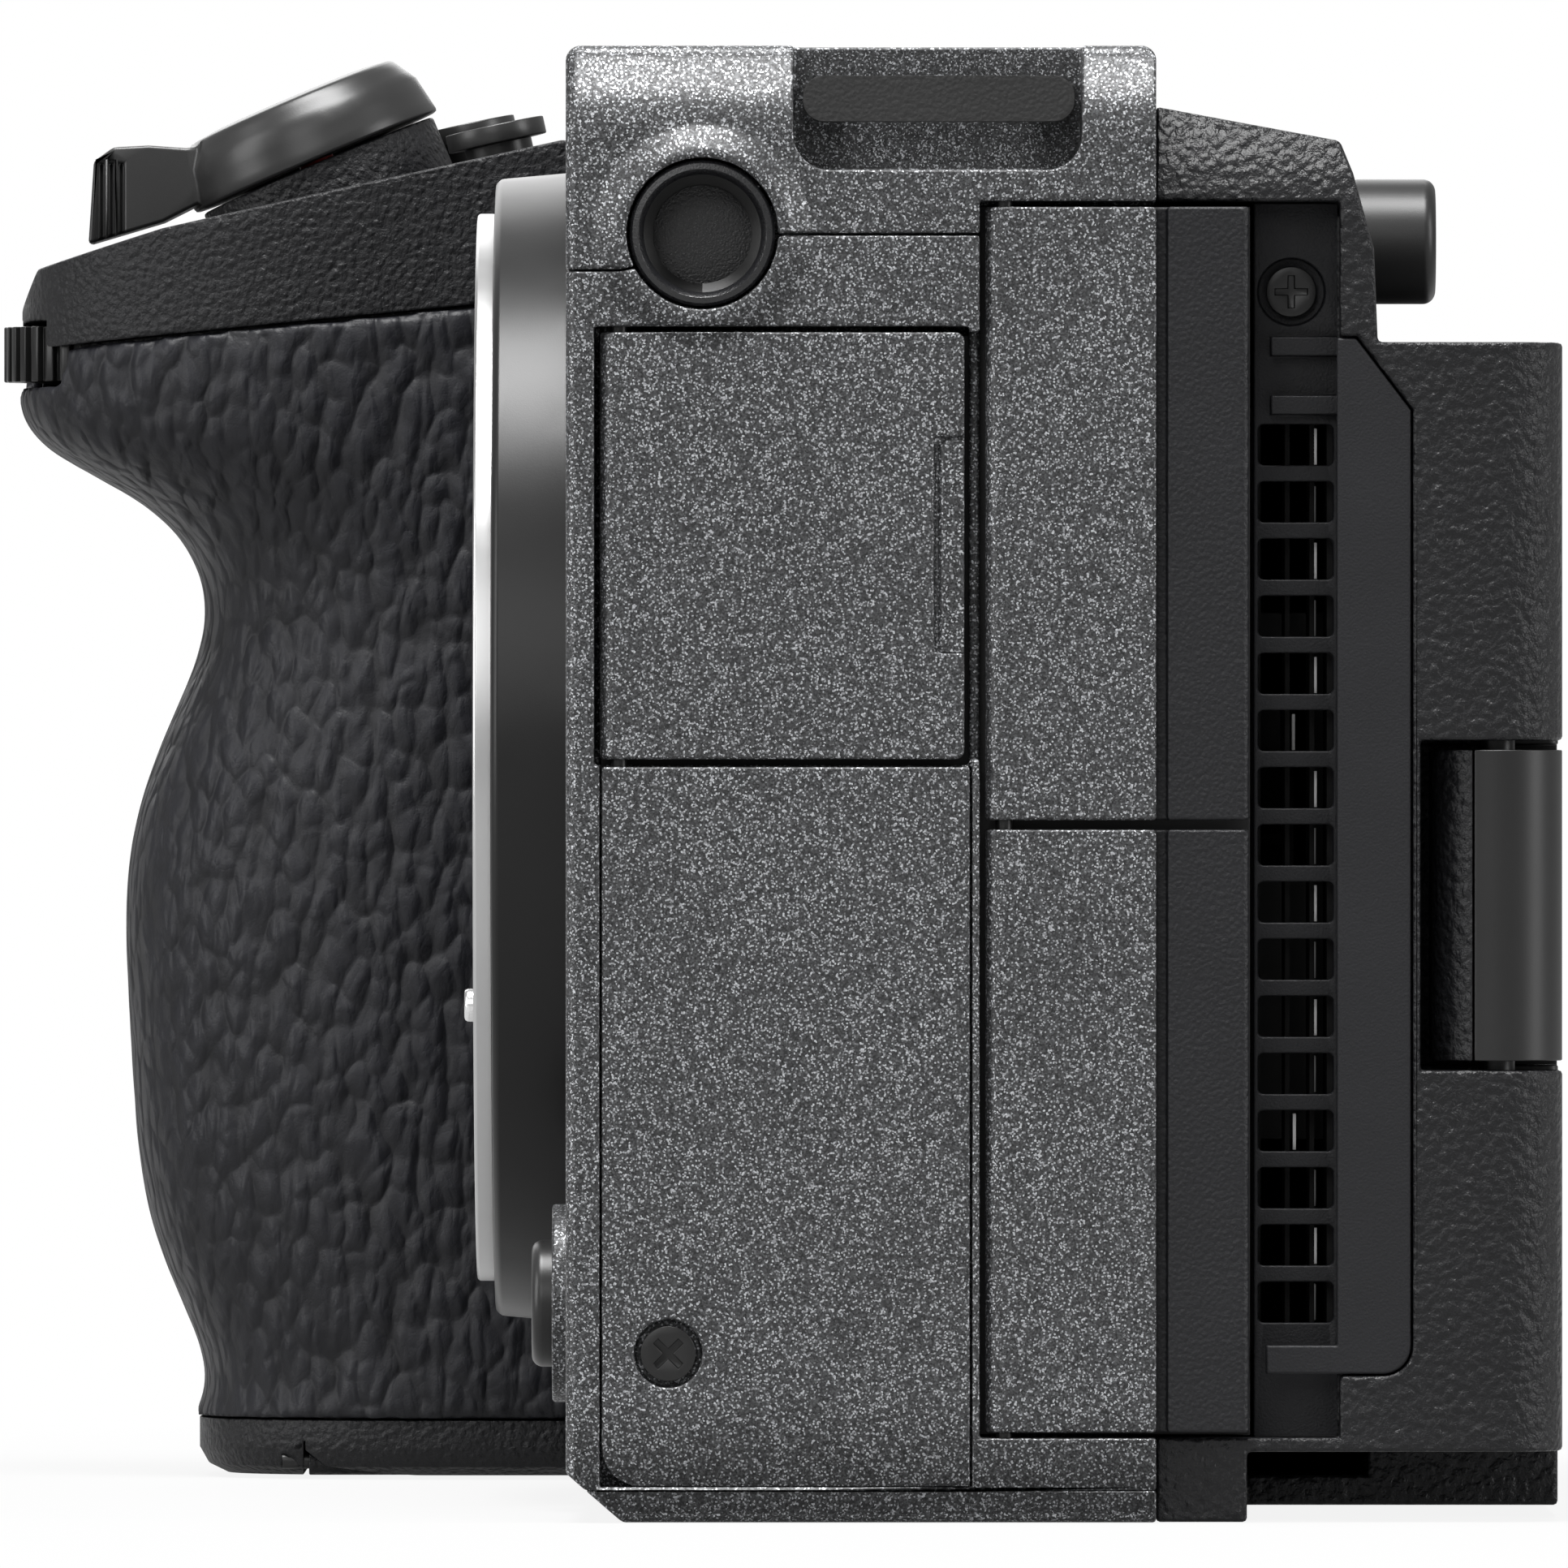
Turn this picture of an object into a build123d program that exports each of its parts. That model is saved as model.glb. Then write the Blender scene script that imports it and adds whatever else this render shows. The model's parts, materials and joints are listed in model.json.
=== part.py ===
"""Compact cinema camera body, built piece by piece in millimetres.

+Z is up and -Y is the way the lens looks. +X is the camera's left side, with the port doors,
and -X is the hand grip. The origin is the mouth of the tripod socket in the base.
"""

import os
from math import atan, cos, radians, sin

from build123d import *

os.makedirs("parts", exist_ok=True)

# Outer size of the camera
left_x = 57.0
right_x = -72.7
top_z = 77.8
front_y = -11.5
rear_y = 41.1

# Where one housing ends and the next begins
metal_rear_y = 19.6
metal_right_x = -38.0
base_seam_z = 1.7
cover_seam_front_z = 66.0
cover_seam_rear_z = 67.9
deck_z = 74.9
wall = 1.8
side_wall = 3.5
edge_round = 0.8

# Clearances
moving_gap = 0.3
running_fit = 0.05
seam_gap = 0.1

# Lens mount
lens_z = 40.9
throat_r = 23.05
flange_r = 29.1
flange_thick = 1.0
collar_r = 31.35
collar_taper = 0.35
collar_length = 4.2
flange_back = 18.0
bayonet_depth = 1.2
bayonet_height = 1.15
bayonet_arc = 48.0
flange_screw_circle_r = 26.9
flange_screw_head_r = 1.3
flange_screw_turns = (45, 135, 225, 315)
lock_pin_r = 0.9
lock_pin_x = 22.0
lock_pin_z = 27.0
release_x = 30.2
release_z = 11.1
release_r = 3.4
release_boss_r = 5.3

# Camera screws and accessory threads
quarter_thread_r = 2.6
bushing_r = 4.0
bushing_depth = 6.5
side_thread_y = -4.3
side_halo_r = 5.3
pin_r = 0.45
door_thick = 1.6
hinge_r = 1.0
hinge_x = left_x - hinge_r

# Port doors in the left side, each as front, rear, bottom and top edge
mic_door_y = (-9.7, 9.5)
mic_door_z = (40.2, 62.7)
port_door_y = (10.6, 24.5)
hdmi_door_z = (37.0, 69.3)
usb_door_z = (4.75, 36.5)
port_door_split_y = 19.6
mic_pin_y = mic_door_y[0] + hinge_r
port_pin_y = port_door_y[0] + hinge_r
side_panel_z = (1.9, 39.8)
panel_thick = 1.2

case_screw_y = -6.1
case_screw_z = 8.9
case_screw_r = 1.45

# Ports
jack_r = 1.8
jack_depth = 14.0
jack_y = 0.0
mic_jack_z = 57.0
phone_jack_z = 46.0
connector_face_x = left_x - side_wall
connector_thick = 2.0
port_y = 17.4
hdmi_port_z = 56.0
multi_port_z = 26.5
usb_port_z = 13.0

# Cooling vent
vent_face_x = 52.0
vent_y = (24.8, 29.3)
vent_slot_y = (25.05, 29.0)
vent_slot_top_z = 57.9
vent_pitch = 3.02
vent_bar = 0.86
vent_count = 16
vent_frame_y = (29.15, 33.05)
vent_frame_z = (7.8, 62.4)
vent_frame_foot_y = 25.4
grille_thick = 1.6
vent_screw = (26.8, 64.9)
vent_screw_r = 1.33

# Monitor and its hinge
wall_left_x = 55.5
hinge_wall_z = (23.8, 41.2)
block_z = (3.7, 62.2)
arm_z = (24.3, 40.7)
arm_r = 3.45
swing_x = wall_left_x - arm_r
swing_y = rear_y - arm_r
swing_pin_r = 0.95
corner_r = 3.2
panel_left_x = 47.9
panel_width = 76.0
panel_z = (4.4, 61.4)
panel_front_y = 33.2
panel_glass_thick = 1.1
tilt_pin_r = 1.5
tilt_z = (arm_z[0] + arm_z[1]) / 2
arm_split_y = 36.4
arm_inner_x = panel_left_x - 2.1
recess_floor_y = 32.9
rear_inner_y = 31.0
control_face_y = 38.5
control_left_x = -30.0

# Grip
grip_inner_x = -40.5
grip_skin = 1.0
grip_rear_y = -8.0
leather_foot_z = 3.4
grip_foot_z = 0.2
grip_seam_slope = 0.0963
grip_seam_z = 66.6
battery_size = (22.7, 38.7, 51.7)
battery_x = -56.0
battery_y = -6.4
battery_foot_z = 2.6
battery_door_thick = 1.6

# Dials, buttons and levers
zoom_x = -52.0
zoom_y = -26.3
zoom_z = 73.9
zoom_tilt = 23.0
zoom_ring_r = 7.4
zoom_ring_height = 3.65
record_r = 4.1
front_dial_y = -37.7
front_dial_z = (61.5, 64.6)
front_dial_r = 6.2
rear_dial_x = -58.0
rear_dial_y = 21.3
rear_dial_r = 9.8
rear_dial_z = (69.2, 72.2)
wheel_x = -51.5
wheel_z = 27.0
wheel_r = 9.4
stick_x = -45.0
stick_z = 69.3
stick_r = 3.5


def side_plane(x):
    """Sketch plane facing +X: sketch x is Y, sketch y is Z."""
    return Plane.YZ.offset(x)


def front_plane(y):
    """Sketch plane facing -Y: sketch x is X, sketch y is Z."""
    return Plane.XZ.offset(-y)


def level_plane(z):
    """Sketch plane facing +Z: sketch x is X, sketch y is Y."""
    return Plane.XY.offset(z)


def rect(low_u, high_u, low_v, high_v, radius=0.0, mode=Mode.ADD):
    """A rectangle in the current sketch, from its edges."""
    with Locations(((low_u + high_u) / 2, (low_v + high_v) / 2)):
        if radius:
            RectangleRounded(high_u - low_u, high_v - low_v, radius, mode=mode)
        else:
            Rectangle(high_u - low_u, high_v - low_v, mode=mode)


def block(x, y, z, mode=Mode.ADD):
    """A box in the current part, from its low and high corner on each axis."""
    center = ((x[0] + x[1]) / 2, (y[0] + y[1]) / 2, (z[0] + z[1]) / 2)
    with Locations(center):
        Box(x[1] - x[0], y[1] - y[0], z[1] - z[0], mode=mode)


def rod_x(y, z, radius, x, mode=Mode.ADD):
    """A round bar along X, from x[0] to x[1]."""
    with BuildSketch(side_plane(x[0])) as disc:
        with Locations((y, z)):
            Circle(radius)
    extrude(disc.sketch, amount=x[1] - x[0], mode=mode)


def rod_y(x, z, radius, y, mode=Mode.ADD):
    """A round bar along Y, from y[0] to y[1]."""
    with BuildSketch(front_plane(y[1])) as disc:
        with Locations((x, z)):
            Circle(radius)
    extrude(disc.sketch, amount=y[1] - y[0], mode=mode)


def rod_z(x, y, radius, z, mode=Mode.ADD):
    """A round bar along Z, from z[0] to z[1]."""
    with BuildSketch(level_plane(z[0])) as disc:
        with Locations((x, y)):
            Circle(radius)
    extrude(disc.sketch, amount=z[1] - z[0], mode=mode)


# Metal housing, cut into front shell and top cover along one seam
front_inner_y = front_y + wall
sleeve_r = throat_r + 2.7
housing_slope = 3.0 / 2.6
strap_y = (0.5, 15.7)
strap_z = 71.25
strap_floor_x = 52.4
shoe_x = 4.0
shoe_y = 6.0
shoe_slot = (18.9, 18.0, 2.4)
shoe_floor_z = top_z - 4.3
top_threads = [(-24.0, -3.0), (40.0, -3.0), (40.0, 13.0)]
top_bushing_depth = 6.0

with BuildPart() as metal_housing:
    block((metal_right_x, left_x), (front_y, metal_rear_y), (base_seam_z, top_z))
    front_edges = metal_housing.edges().filter_by(Axis.Z).group_by(Axis.Y)[0]
    fillet(front_edges, edge_round)
    fillet(metal_housing.faces().sort_by(Axis.Z)[-1].edges(), edge_round)
    with BuildSketch(side_plane(metal_right_x)):
        with BuildLine():
            Polyline(
                (front_y, base_seam_z),
                (front_y, base_seam_z + 0.9),
                (front_y + 0.9 * housing_slope, base_seam_z),
                close=True,
            )
        make_face()
    extrude(amount=left_x - metal_right_x, mode=Mode.SUBTRACT)
    block(
        (metal_right_x + wall, left_x - side_wall),
        (front_inner_y, metal_rear_y),
        (base_seam_z, top_z - wall),
        Mode.SUBTRACT,
    )
    # Lens opening through the front wall
    rod_y(0, lens_z, sleeve_r, (front_y, front_inner_y), Mode.SUBTRACT)
    # Recess for the strap lug, open at the top
    with BuildSketch(side_plane(strap_floor_x)):
        rect(strap_y[0], strap_y[1], strap_z, top_z + 4, 1.9)
    extrude(amount=left_x - strap_floor_x, mode=Mode.SUBTRACT)
    # Wall behind the strap recess
    block(
        (strap_floor_x - wall, strap_floor_x),
        (strap_y[0] - wall, metal_rear_y),
        (strap_z - wall, top_z - wall),
    )
    block((strap_floor_x, left_x - side_wall), (strap_y[0] - wall, strap_y[0]), (strap_z, top_z - wall))
    block((strap_floor_x, left_x - side_wall), (strap_y[1], metal_rear_y), (strap_z, top_z - wall))
    block(
        (strap_floor_x, left_x - side_wall),
        (strap_y[0] - wall, metal_rear_y),
        (strap_z - wall, strap_z),
    )
    # Boss for the threaded insert in the left side
    block(
        (left_x - side_wall - 2.5, left_x - side_wall),
        (side_thread_y - bushing_r - 0.9, side_thread_y + bushing_r + 0.3),
        (cover_seam_rear_z - bushing_r - 1, top_z - wall),
    )
    rod_x(side_thread_y, cover_seam_rear_z, bushing_r, (left_x - side_wall - 2.5, left_x), Mode.SUBTRACT)

with BuildPart() as top_cover:
    add(metal_housing.part)
    with BuildSketch(side_plane(metal_right_x)):
        with BuildLine():
            Polyline(
                (front_y, cover_seam_front_z),
                (side_thread_y - side_halo_r + 1, cover_seam_front_z),
                (side_thread_y + side_halo_r - 1, cover_seam_rear_z),
                (metal_rear_y, cover_seam_rear_z),
                (metal_rear_y, top_z),
                (front_y, top_z),
                close=True,
            )
        make_face()
    extrude(amount=left_x - metal_right_x, mode=Mode.INTERSECT)
    # Accessory shoe recess and the threaded bosses in the roof
    block(
        (shoe_x - shoe_slot[0] / 2 - 1.6, shoe_x + shoe_slot[0] / 2 + 1.6),
        (shoe_y - shoe_slot[1] / 2 - 1.0, metal_rear_y),
        (shoe_floor_z - wall, top_z - wall),
    )
    block(
        (shoe_x - shoe_slot[0] / 2 - 0.4, shoe_x + shoe_slot[0] / 2 + 0.4),
        (shoe_y - shoe_slot[1] / 2, metal_rear_y),
        (shoe_floor_z, top_z),
        Mode.SUBTRACT,
    )
    for x, y in top_threads:
        rod_z(x, y, bushing_r + 1.2, (top_z - top_bushing_depth, top_z - wall))
    for x, y in top_threads:
        rod_z(x, y, bushing_r, (top_z - top_bushing_depth, top_z), Mode.SUBTRACT)
    # Notch over the upper port door
    block(
        (connector_face_x, left_x),
        (port_door_y[0] - moving_gap, metal_rear_y),
        (cover_seam_rear_z, hdmi_door_z[1] + moving_gap),
        Mode.SUBTRACT,
    )
    rod_z(hinge_x, port_pin_y, pin_r, (hdmi_door_z[1], hdmi_door_z[1] + 1.2), Mode.SUBTRACT)
top_cover.part.label = "top_cover"
export_step(top_cover.part, "parts/top_cover.step")

with BuildPart() as front_shell:
    add(metal_housing.part)
    with BuildSketch(side_plane(metal_right_x)):
        with BuildLine():
            Polyline(
                (front_y, base_seam_z),
                (front_y, cover_seam_front_z - seam_gap),
                (side_thread_y - side_halo_r + 1, cover_seam_front_z - seam_gap),
                (side_thread_y + side_halo_r - 1, cover_seam_rear_z - seam_gap),
                (metal_rear_y, cover_seam_rear_z - seam_gap),
                (metal_rear_y, base_seam_z),
                close=True,
            )
        make_face()
    extrude(amount=left_x - metal_right_x, mode=Mode.INTERSECT)
    # Openings behind the doors
    door_edge = moving_gap
    block(
        (connector_face_x, left_x),
        (mic_door_y[0] - door_edge, mic_door_y[1] + door_edge - 0.05),
        (mic_door_z[0] - door_edge, mic_door_z[1] + door_edge),
        Mode.SUBTRACT,
    )
    block(
        (connector_face_x, left_x),
        (port_door_y[0] - door_edge, metal_rear_y),
        (usb_door_z[0] - door_edge, cover_seam_rear_z),
        Mode.SUBTRACT,
    )
    # The web between the doors lies deep in the groove
    block((55.0, left_x), (mic_door_y[1], port_door_y[0]), (mic_door_z[0], mic_door_z[1]), Mode.SUBTRACT)
    # Seat of the fixed side panel
    with BuildSketch(side_plane(left_x - panel_thick)):
        rect(-9.6 - seam_gap, 9.9, side_panel_z[0] - seam_gap, side_panel_z[1] + seam_gap)
    extrude(amount=panel_thick, mode=Mode.SUBTRACT)
    rod_x(case_screw_y, case_screw_z, 0.7, (left_x - 2.0, left_x), Mode.SUBTRACT)
    # Button seat and lock pin hole beside the lens
    rod_y(release_x, release_z, release_boss_r, (front_y - 0.9, front_y))
    rod_y(release_x, release_z, release_r + moving_gap, (front_y - 0.9, front_y - 0.9 + 2.4), Mode.SUBTRACT)
    rod_y(release_x, release_z, 1.2, (front_y - 0.9, front_inner_y), Mode.SUBTRACT)
    rod_y(lock_pin_x, lock_pin_z, lock_pin_r + moving_gap, (front_y, front_inner_y), Mode.SUBTRACT)
    # Bores for the door hinge pins
    rod_z(hinge_x, mic_pin_y, pin_r, (mic_door_z[0] - 1.5, mic_door_z[1] + 1.5), Mode.SUBTRACT)
    rod_z(hinge_x, port_pin_y, pin_r, (usb_door_z[0] - 1.5, usb_door_z[0]), Mode.SUBTRACT)
front_shell.part.label = "front_shell"
export_step(front_shell.part, "parts/front_shell.step")

# Base plate with the tripod socket
base_front_y = front_y + 0.9 * housing_slope
base_screw_places = [(-30.0, 14.0), (48.0, 14.0), (48.0, -3.0), (-30.0, -3.0)]
with BuildPart() as base_plate:
    with BuildSketch(side_plane(metal_right_x)):
        with BuildLine():
            Polyline(
                (base_front_y, base_seam_z),
                (base_front_y + base_seam_z * housing_slope, 0),
                (metal_rear_y, 0),
                (metal_rear_y, base_seam_z),
                close=True,
            )
        make_face()
    extrude(amount=left_x - metal_right_x)
    fillet(base_plate.edges().filter_by(Axis.Y).group_by(Axis.Z)[0], edge_round)
    rod_z(0, 0, bushing_r + 1.5, (base_seam_z, base_seam_z + 3.0))
    rod_z(0, 0, bushing_r, (0, base_seam_z + 3.0), Mode.SUBTRACT)
    for x, y in base_screw_places:
        rod_z(x, y, 1.5, (0, 0.9), Mode.SUBTRACT)
        rod_z(x, y, 0.8, (0.9, base_seam_z), Mode.SUBTRACT)
base_plate.part.label = "base_plate"
export_step(base_plate.part, "parts/base_plate.step")

# Threaded inserts in the base, in the roof and in the left side
side_bushing_x = (left_x - side_wall - 2.5, left_x)
with BuildPart() as thread_bushings:
    rod_z(0, 0, bushing_r, (0, bushing_depth))
    rod_z(0, 0, bushing_r + 0.8, (base_seam_z + 3.0, bushing_depth))
    rod_z(0, 0, quarter_thread_r, (0, bushing_depth - 0.8), Mode.SUBTRACT)
    for x, y in top_threads:
        rod_z(x, y, bushing_r, (top_z - top_bushing_depth, top_z - 0.1))
        rod_z(x, y, quarter_thread_r, (top_z - top_bushing_depth + 0.8, top_z - 0.1), Mode.SUBTRACT)
        rod_z(x, y, quarter_thread_r + 0.4, (top_z - 0.5, top_z - 0.1), Mode.SUBTRACT)
    rod_x(side_thread_y, cover_seam_rear_z, bushing_r, side_bushing_x)
    rod_x(
        side_thread_y,
        cover_seam_rear_z,
        quarter_thread_r,
        (side_bushing_x[0] + 0.8, side_bushing_x[1]),
        Mode.SUBTRACT,
    )
    rod_x(side_thread_y, cover_seam_rear_z, quarter_thread_r + 0.4, (left_x - 0.4, left_x), Mode.SUBTRACT)
thread_bushings.part.label = "thread_bushings"
export_step(thread_bushings.part, "parts/thread_bushings.step")

# Accessory shoe: channel with two lips, and the spring under the lips
shoe_front_y = shoe_y - shoe_slot[1] / 2
shoe_half = shoe_slot[0] / 2
with BuildPart() as shoe_rails:
    with BuildSketch(Plane.XZ.offset(-shoe_front_y)):
        rect(shoe_x - shoe_half - 0.4, shoe_x + shoe_half + 0.4, shoe_floor_z, top_z)
    extrude(amount=-(metal_rear_y - shoe_front_y))
    block(
        (shoe_x - shoe_half, shoe_x + shoe_half),
        (shoe_front_y + 0.8, metal_rear_y),
        (shoe_floor_z + 0.9, shoe_floor_z + 0.9 + shoe_slot[2]),
        Mode.SUBTRACT,
    )
    block(
        (shoe_x - 6.3, shoe_x + 6.3),
        (shoe_front_y + 0.8, metal_rear_y),
        (shoe_floor_z + 0.9, top_z),
        Mode.SUBTRACT,
    )
    # Leaf spring on the floor of the shoe
    block(
        (shoe_x - 5.0, shoe_x + 5.0),
        (shoe_front_y + 2.0, metal_rear_y - 1.5),
        (shoe_floor_z + 0.9, shoe_floor_z + 1.15),
    )
    for side in (-1, 1):
        block(
            (shoe_x + side * 5.9 - 1.1, shoe_x + side * 5.9 + 1.1),
            (shoe_front_y + 5.0, metal_rear_y - 5.0),
            (shoe_floor_z + 0.9, shoe_floor_z + 1.15),
        )
shoe_rails.part.label = "shoe_rails"
export_step(shoe_rails.part, "parts/shoe_rails.step")

# Lens mount: black collar, bright bayonet flange, its screws and the contact block
collar_front_y = front_y - collar_length
flange_front_y = collar_front_y - flange_thick
sensor_y = flange_front_y + flange_back
with BuildPart() as mount_collar:
    with BuildSketch(Plane.YZ):
        with BuildLine():
            Polyline(
                (front_y, lens_z + sleeve_r),
                (collar_front_y, lens_z + sleeve_r),
                (collar_front_y, lens_z + collar_r - collar_taper - 0.3),
                (collar_front_y + 0.3, lens_z + collar_r - collar_taper),
                (front_y, lens_z + collar_r),
                close=True,
            )
        make_face()
    revolve(axis=Axis((0, 0, lens_z), (0, 1, 0)))
    rod_y(
        release_x,
        release_z,
        release_boss_r + seam_gap,
        (collar_front_y, front_y),
        Mode.SUBTRACT,
    )
    rod_y(lock_pin_x, lock_pin_z, lock_pin_r + running_fit, (collar_front_y, front_y), Mode.SUBTRACT)
mount_collar.part.label = "mount_collar"
export_step(mount_collar.part, "parts/mount_collar.step")

with BuildPart() as mount_flange:
    rod_y(0, lens_z, flange_r, (flange_front_y, collar_front_y))
    fillet(mount_flange.edges().group_by(Axis.Y)[0], 0.2)
    rod_y(0, lens_z, sleeve_r, (collar_front_y, front_y + 1.0))
    rod_y(0, lens_z, throat_r, (flange_front_y, front_y + 1.0), Mode.SUBTRACT)
    # Three bayonet claws stand into the throat
    with BuildSketch(front_plane(flange_front_y + bayonet_depth + 0.4)):
        with Locations((0, lens_z)):
            Circle(throat_r + 0.2)
            Circle(throat_r - bayonet_height, mode=Mode.SUBTRACT)
            for turn in (60, 180, 300):
                with BuildLine(Location((0, lens_z))):
                    Polyline(
                        (0, 0),
                        (40 * cos(radians(turn)), 40 * sin(radians(turn))),
                        (40 * cos(radians(turn + 60)), 40 * sin(radians(turn + 60))),
                        close=True,
                    )
                make_face(mode=Mode.SUBTRACT)
    extrude(amount=bayonet_depth)
    for turn in flange_screw_turns:
        x = flange_screw_circle_r * cos(radians(turn))
        z = lens_z + flange_screw_circle_r * sin(radians(turn))
        rod_y(x, z, flange_screw_head_r, (flange_front_y, flange_front_y + 0.6), Mode.SUBTRACT)
        rod_y(x, z, 0.7, (flange_front_y + 0.6, collar_front_y), Mode.SUBTRACT)
    rod_y(
        lock_pin_x,
        lock_pin_z,
        lock_pin_r + running_fit,
        (flange_front_y, front_y + 1.0),
        Mode.SUBTRACT,
    )
mount_flange.part.label = "mount_flange"
export_step(mount_flange.part, "parts/mount_flange.step")

contact_y = (front_y + 1.1, front_y + 3.3)
contact_r = throat_r - 1.4
contact_count = 10
contact_half = 11.0
with BuildPart() as lens_contacts:
    with BuildSketch(front_plane(contact_y[1])):
        with Locations((0, lens_z)):
            Circle(sleeve_r)
            Circle(contact_r - 2.0, mode=Mode.SUBTRACT)
        rect(-contact_half, contact_half, lens_z - sleeve_r, lens_z - 10, mode=Mode.INTERSECT)
    extrude(amount=contact_y[1] - contact_y[0])
    for i in range(contact_count):
        turn = radians(270 + 4.6 * (i - (contact_count - 1) / 2))
        rod_y(contact_r * cos(turn), lens_z + contact_r * sin(turn), 0.5, (contact_y[0] - 0.3, contact_y[0]))
lens_contacts.part.label = "lens_contacts"
export_step(lens_contacts.part, "parts/lens_contacts.step")

# Lens release button and the lock pin that it draws back
with BuildPart() as lens_release_button:
    rod_y(release_x, release_z, release_r, (front_y - 2.0, front_y + 0.3))
    fillet(lens_release_button.edges().group_by(Axis.Y)[0], 0.6)
    rod_y(release_x, release_z, 1.15, (front_y + 0.3, front_inner_y + 0.6))
lens_release_button.part.label = "lens_release_button"
export_step(lens_release_button.part, "parts/lens_release_button.step")

with BuildPart() as lens_lock_pin:
    rod_y(lock_pin_x, lock_pin_z, lock_pin_r, (flange_front_y - 0.5, front_inner_y + 0.6))
    fillet(lens_lock_pin.edges().group_by(Axis.Y)[0], 0.25)
lens_lock_pin.part.label = "lens_lock_pin"
export_step(lens_lock_pin.part, "parts/lens_lock_pin.step")

# Shutter, sensor and its frame, stacked behind the front wall
frame_half = (31.0, 21.0)
boss_inset = (2.5, 5.5)
with BuildPart() as shutter_unit:
    block((-frame_half[0], frame_half[0]), (front_inner_y + 1.6, sensor_y - 4.3),
          (lens_z - frame_half[1], lens_z + frame_half[1]))
    block((-18.6, 18.6), (front_inner_y, sensor_y - 4.3), (lens_z - 12.6, lens_z + 12.6), Mode.SUBTRACT)
    for side in (-1, 1):
        for height in (1, -1):
            boss_x = side * (frame_half[0] - boss_inset[0])
            boss_z = lens_z + height * (frame_half[1] - boss_inset[1])
            rod_y(boss_x, boss_z, 1.8, (front_inner_y, front_inner_y + 1.6))
shutter_unit.part.label = "shutter_unit"
export_step(shutter_unit.part, "parts/shutter_unit.step")

with BuildPart() as sensor_frame:
    block((-frame_half[0], frame_half[0]), (sensor_y - 4.3, sensor_y + 3.2),
          (lens_z - frame_half[1], lens_z + frame_half[1]))
    block((-19.4, 19.4), (sensor_y - 4.3, sensor_y), (lens_z - 13.4, lens_z + 13.4), Mode.SUBTRACT)
sensor_frame.part.label = "sensor_frame"
export_step(sensor_frame.part, "parts/sensor_frame.step")

with BuildPart() as sensor_glass:
    block((-19.3, 19.3), (sensor_y - 2.6, sensor_y), (lens_z - 13.3, lens_z + 13.3))
sensor_glass.part.label = "sensor_glass"
export_step(sensor_glass.part, "parts/sensor_glass.step")

# Main board behind the sensor
board_y = (sensor_y + 3.4, sensor_y + 5.0)
with BuildPart() as main_board:
    block((metal_right_x + wall + 0.4, 36.0), board_y, (7.0, 64.0))
    for x, z, size in [(-18.0, 40.0, 7.0), (6.0, 46.0, 8.0), (24.0, 24.0, 5.5)]:
        block((x - size, x + size), (board_y[1], board_y[1] + 1.2), (z - size, z + size))
main_board.part.label = "main_board"
export_step(main_board.part, "parts/main_board.step")

# Fixed panel on the left side, below the microphone door
with BuildPart() as side_panel:
    with BuildSketch(side_plane(left_x - panel_thick)) as outline:
        rect(-9.6, 9.8, side_panel_z[0], side_panel_z[1])
        fillet(outline.vertices().group_by(Axis.Y)[0].sort_by(Axis.X)[0], 2.1)
    extrude(amount=panel_thick)
    rod_x(case_screw_y, case_screw_z, case_screw_r + 0.35, (left_x - 0.7, left_x), Mode.SUBTRACT)
    rod_x(case_screw_y, case_screw_z, 0.7, (left_x - panel_thick, left_x - 0.7), Mode.SUBTRACT)
    rod_z(hinge_x, mic_pin_y, pin_r, (mic_door_z[0] - 1.5, side_panel_z[1]), Mode.SUBTRACT)
side_panel.part.label = "side_panel"
export_step(side_panel.part, "parts/side_panel.step")

# Black rear cover: side profile, then the recess for the monitor and the room inside
left_wall_inner_x = panel_left_x + moving_gap
panel_right_x = panel_left_x - panel_width
recess_x = (panel_right_x - moving_gap - 0.1, left_wall_inner_x)
shelf_z = block_z[1]
controls_foot_z = 0.6
rear_top_points = [
    (31.3, shelf_z),
    (31.1, 67.1),
    (30.0, 71.1),
    (29.3, 72.8),
    (metal_rear_y, 74.6),
]
vent_frame_thick = 1.0
wheel_hub_r = 5.2
rear_button_r = 2.3
rear_buttons = {
    "menu_button": (-37.0, 54.0),
    "function_button": (-64.0, 43.0),
    "playback_button": (-38.0, 12.0),
    "delete_button": (-64.0, 12.0),
}


def vent_frame_outline(grow):
    """Outline of the vent frame in the current sketch, grown by a gap."""
    low_y, high_y = vent_frame_y
    low_z, high_z = vent_frame_z
    with BuildSketch(mode=Mode.PRIVATE) as outline:
        with BuildLine():
            Polyline(
                (low_y, high_z),
                (low_y + 1.0, high_z),
                (high_y, high_z - 3.8),
                (high_y, low_z),
                (vent_frame_foot_y, low_z),
                (vent_frame_foot_y, low_z + 1.5),
                (low_y, low_z + 1.5),
                close=True,
            )
        make_face()
        fillet(outline.vertices().sort_by(Axis.X)[-2:].sort_by(Axis.Y)[0], 1.5)
        if grow:
            offset(amount=grow)
    add(outline.sketch)


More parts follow.
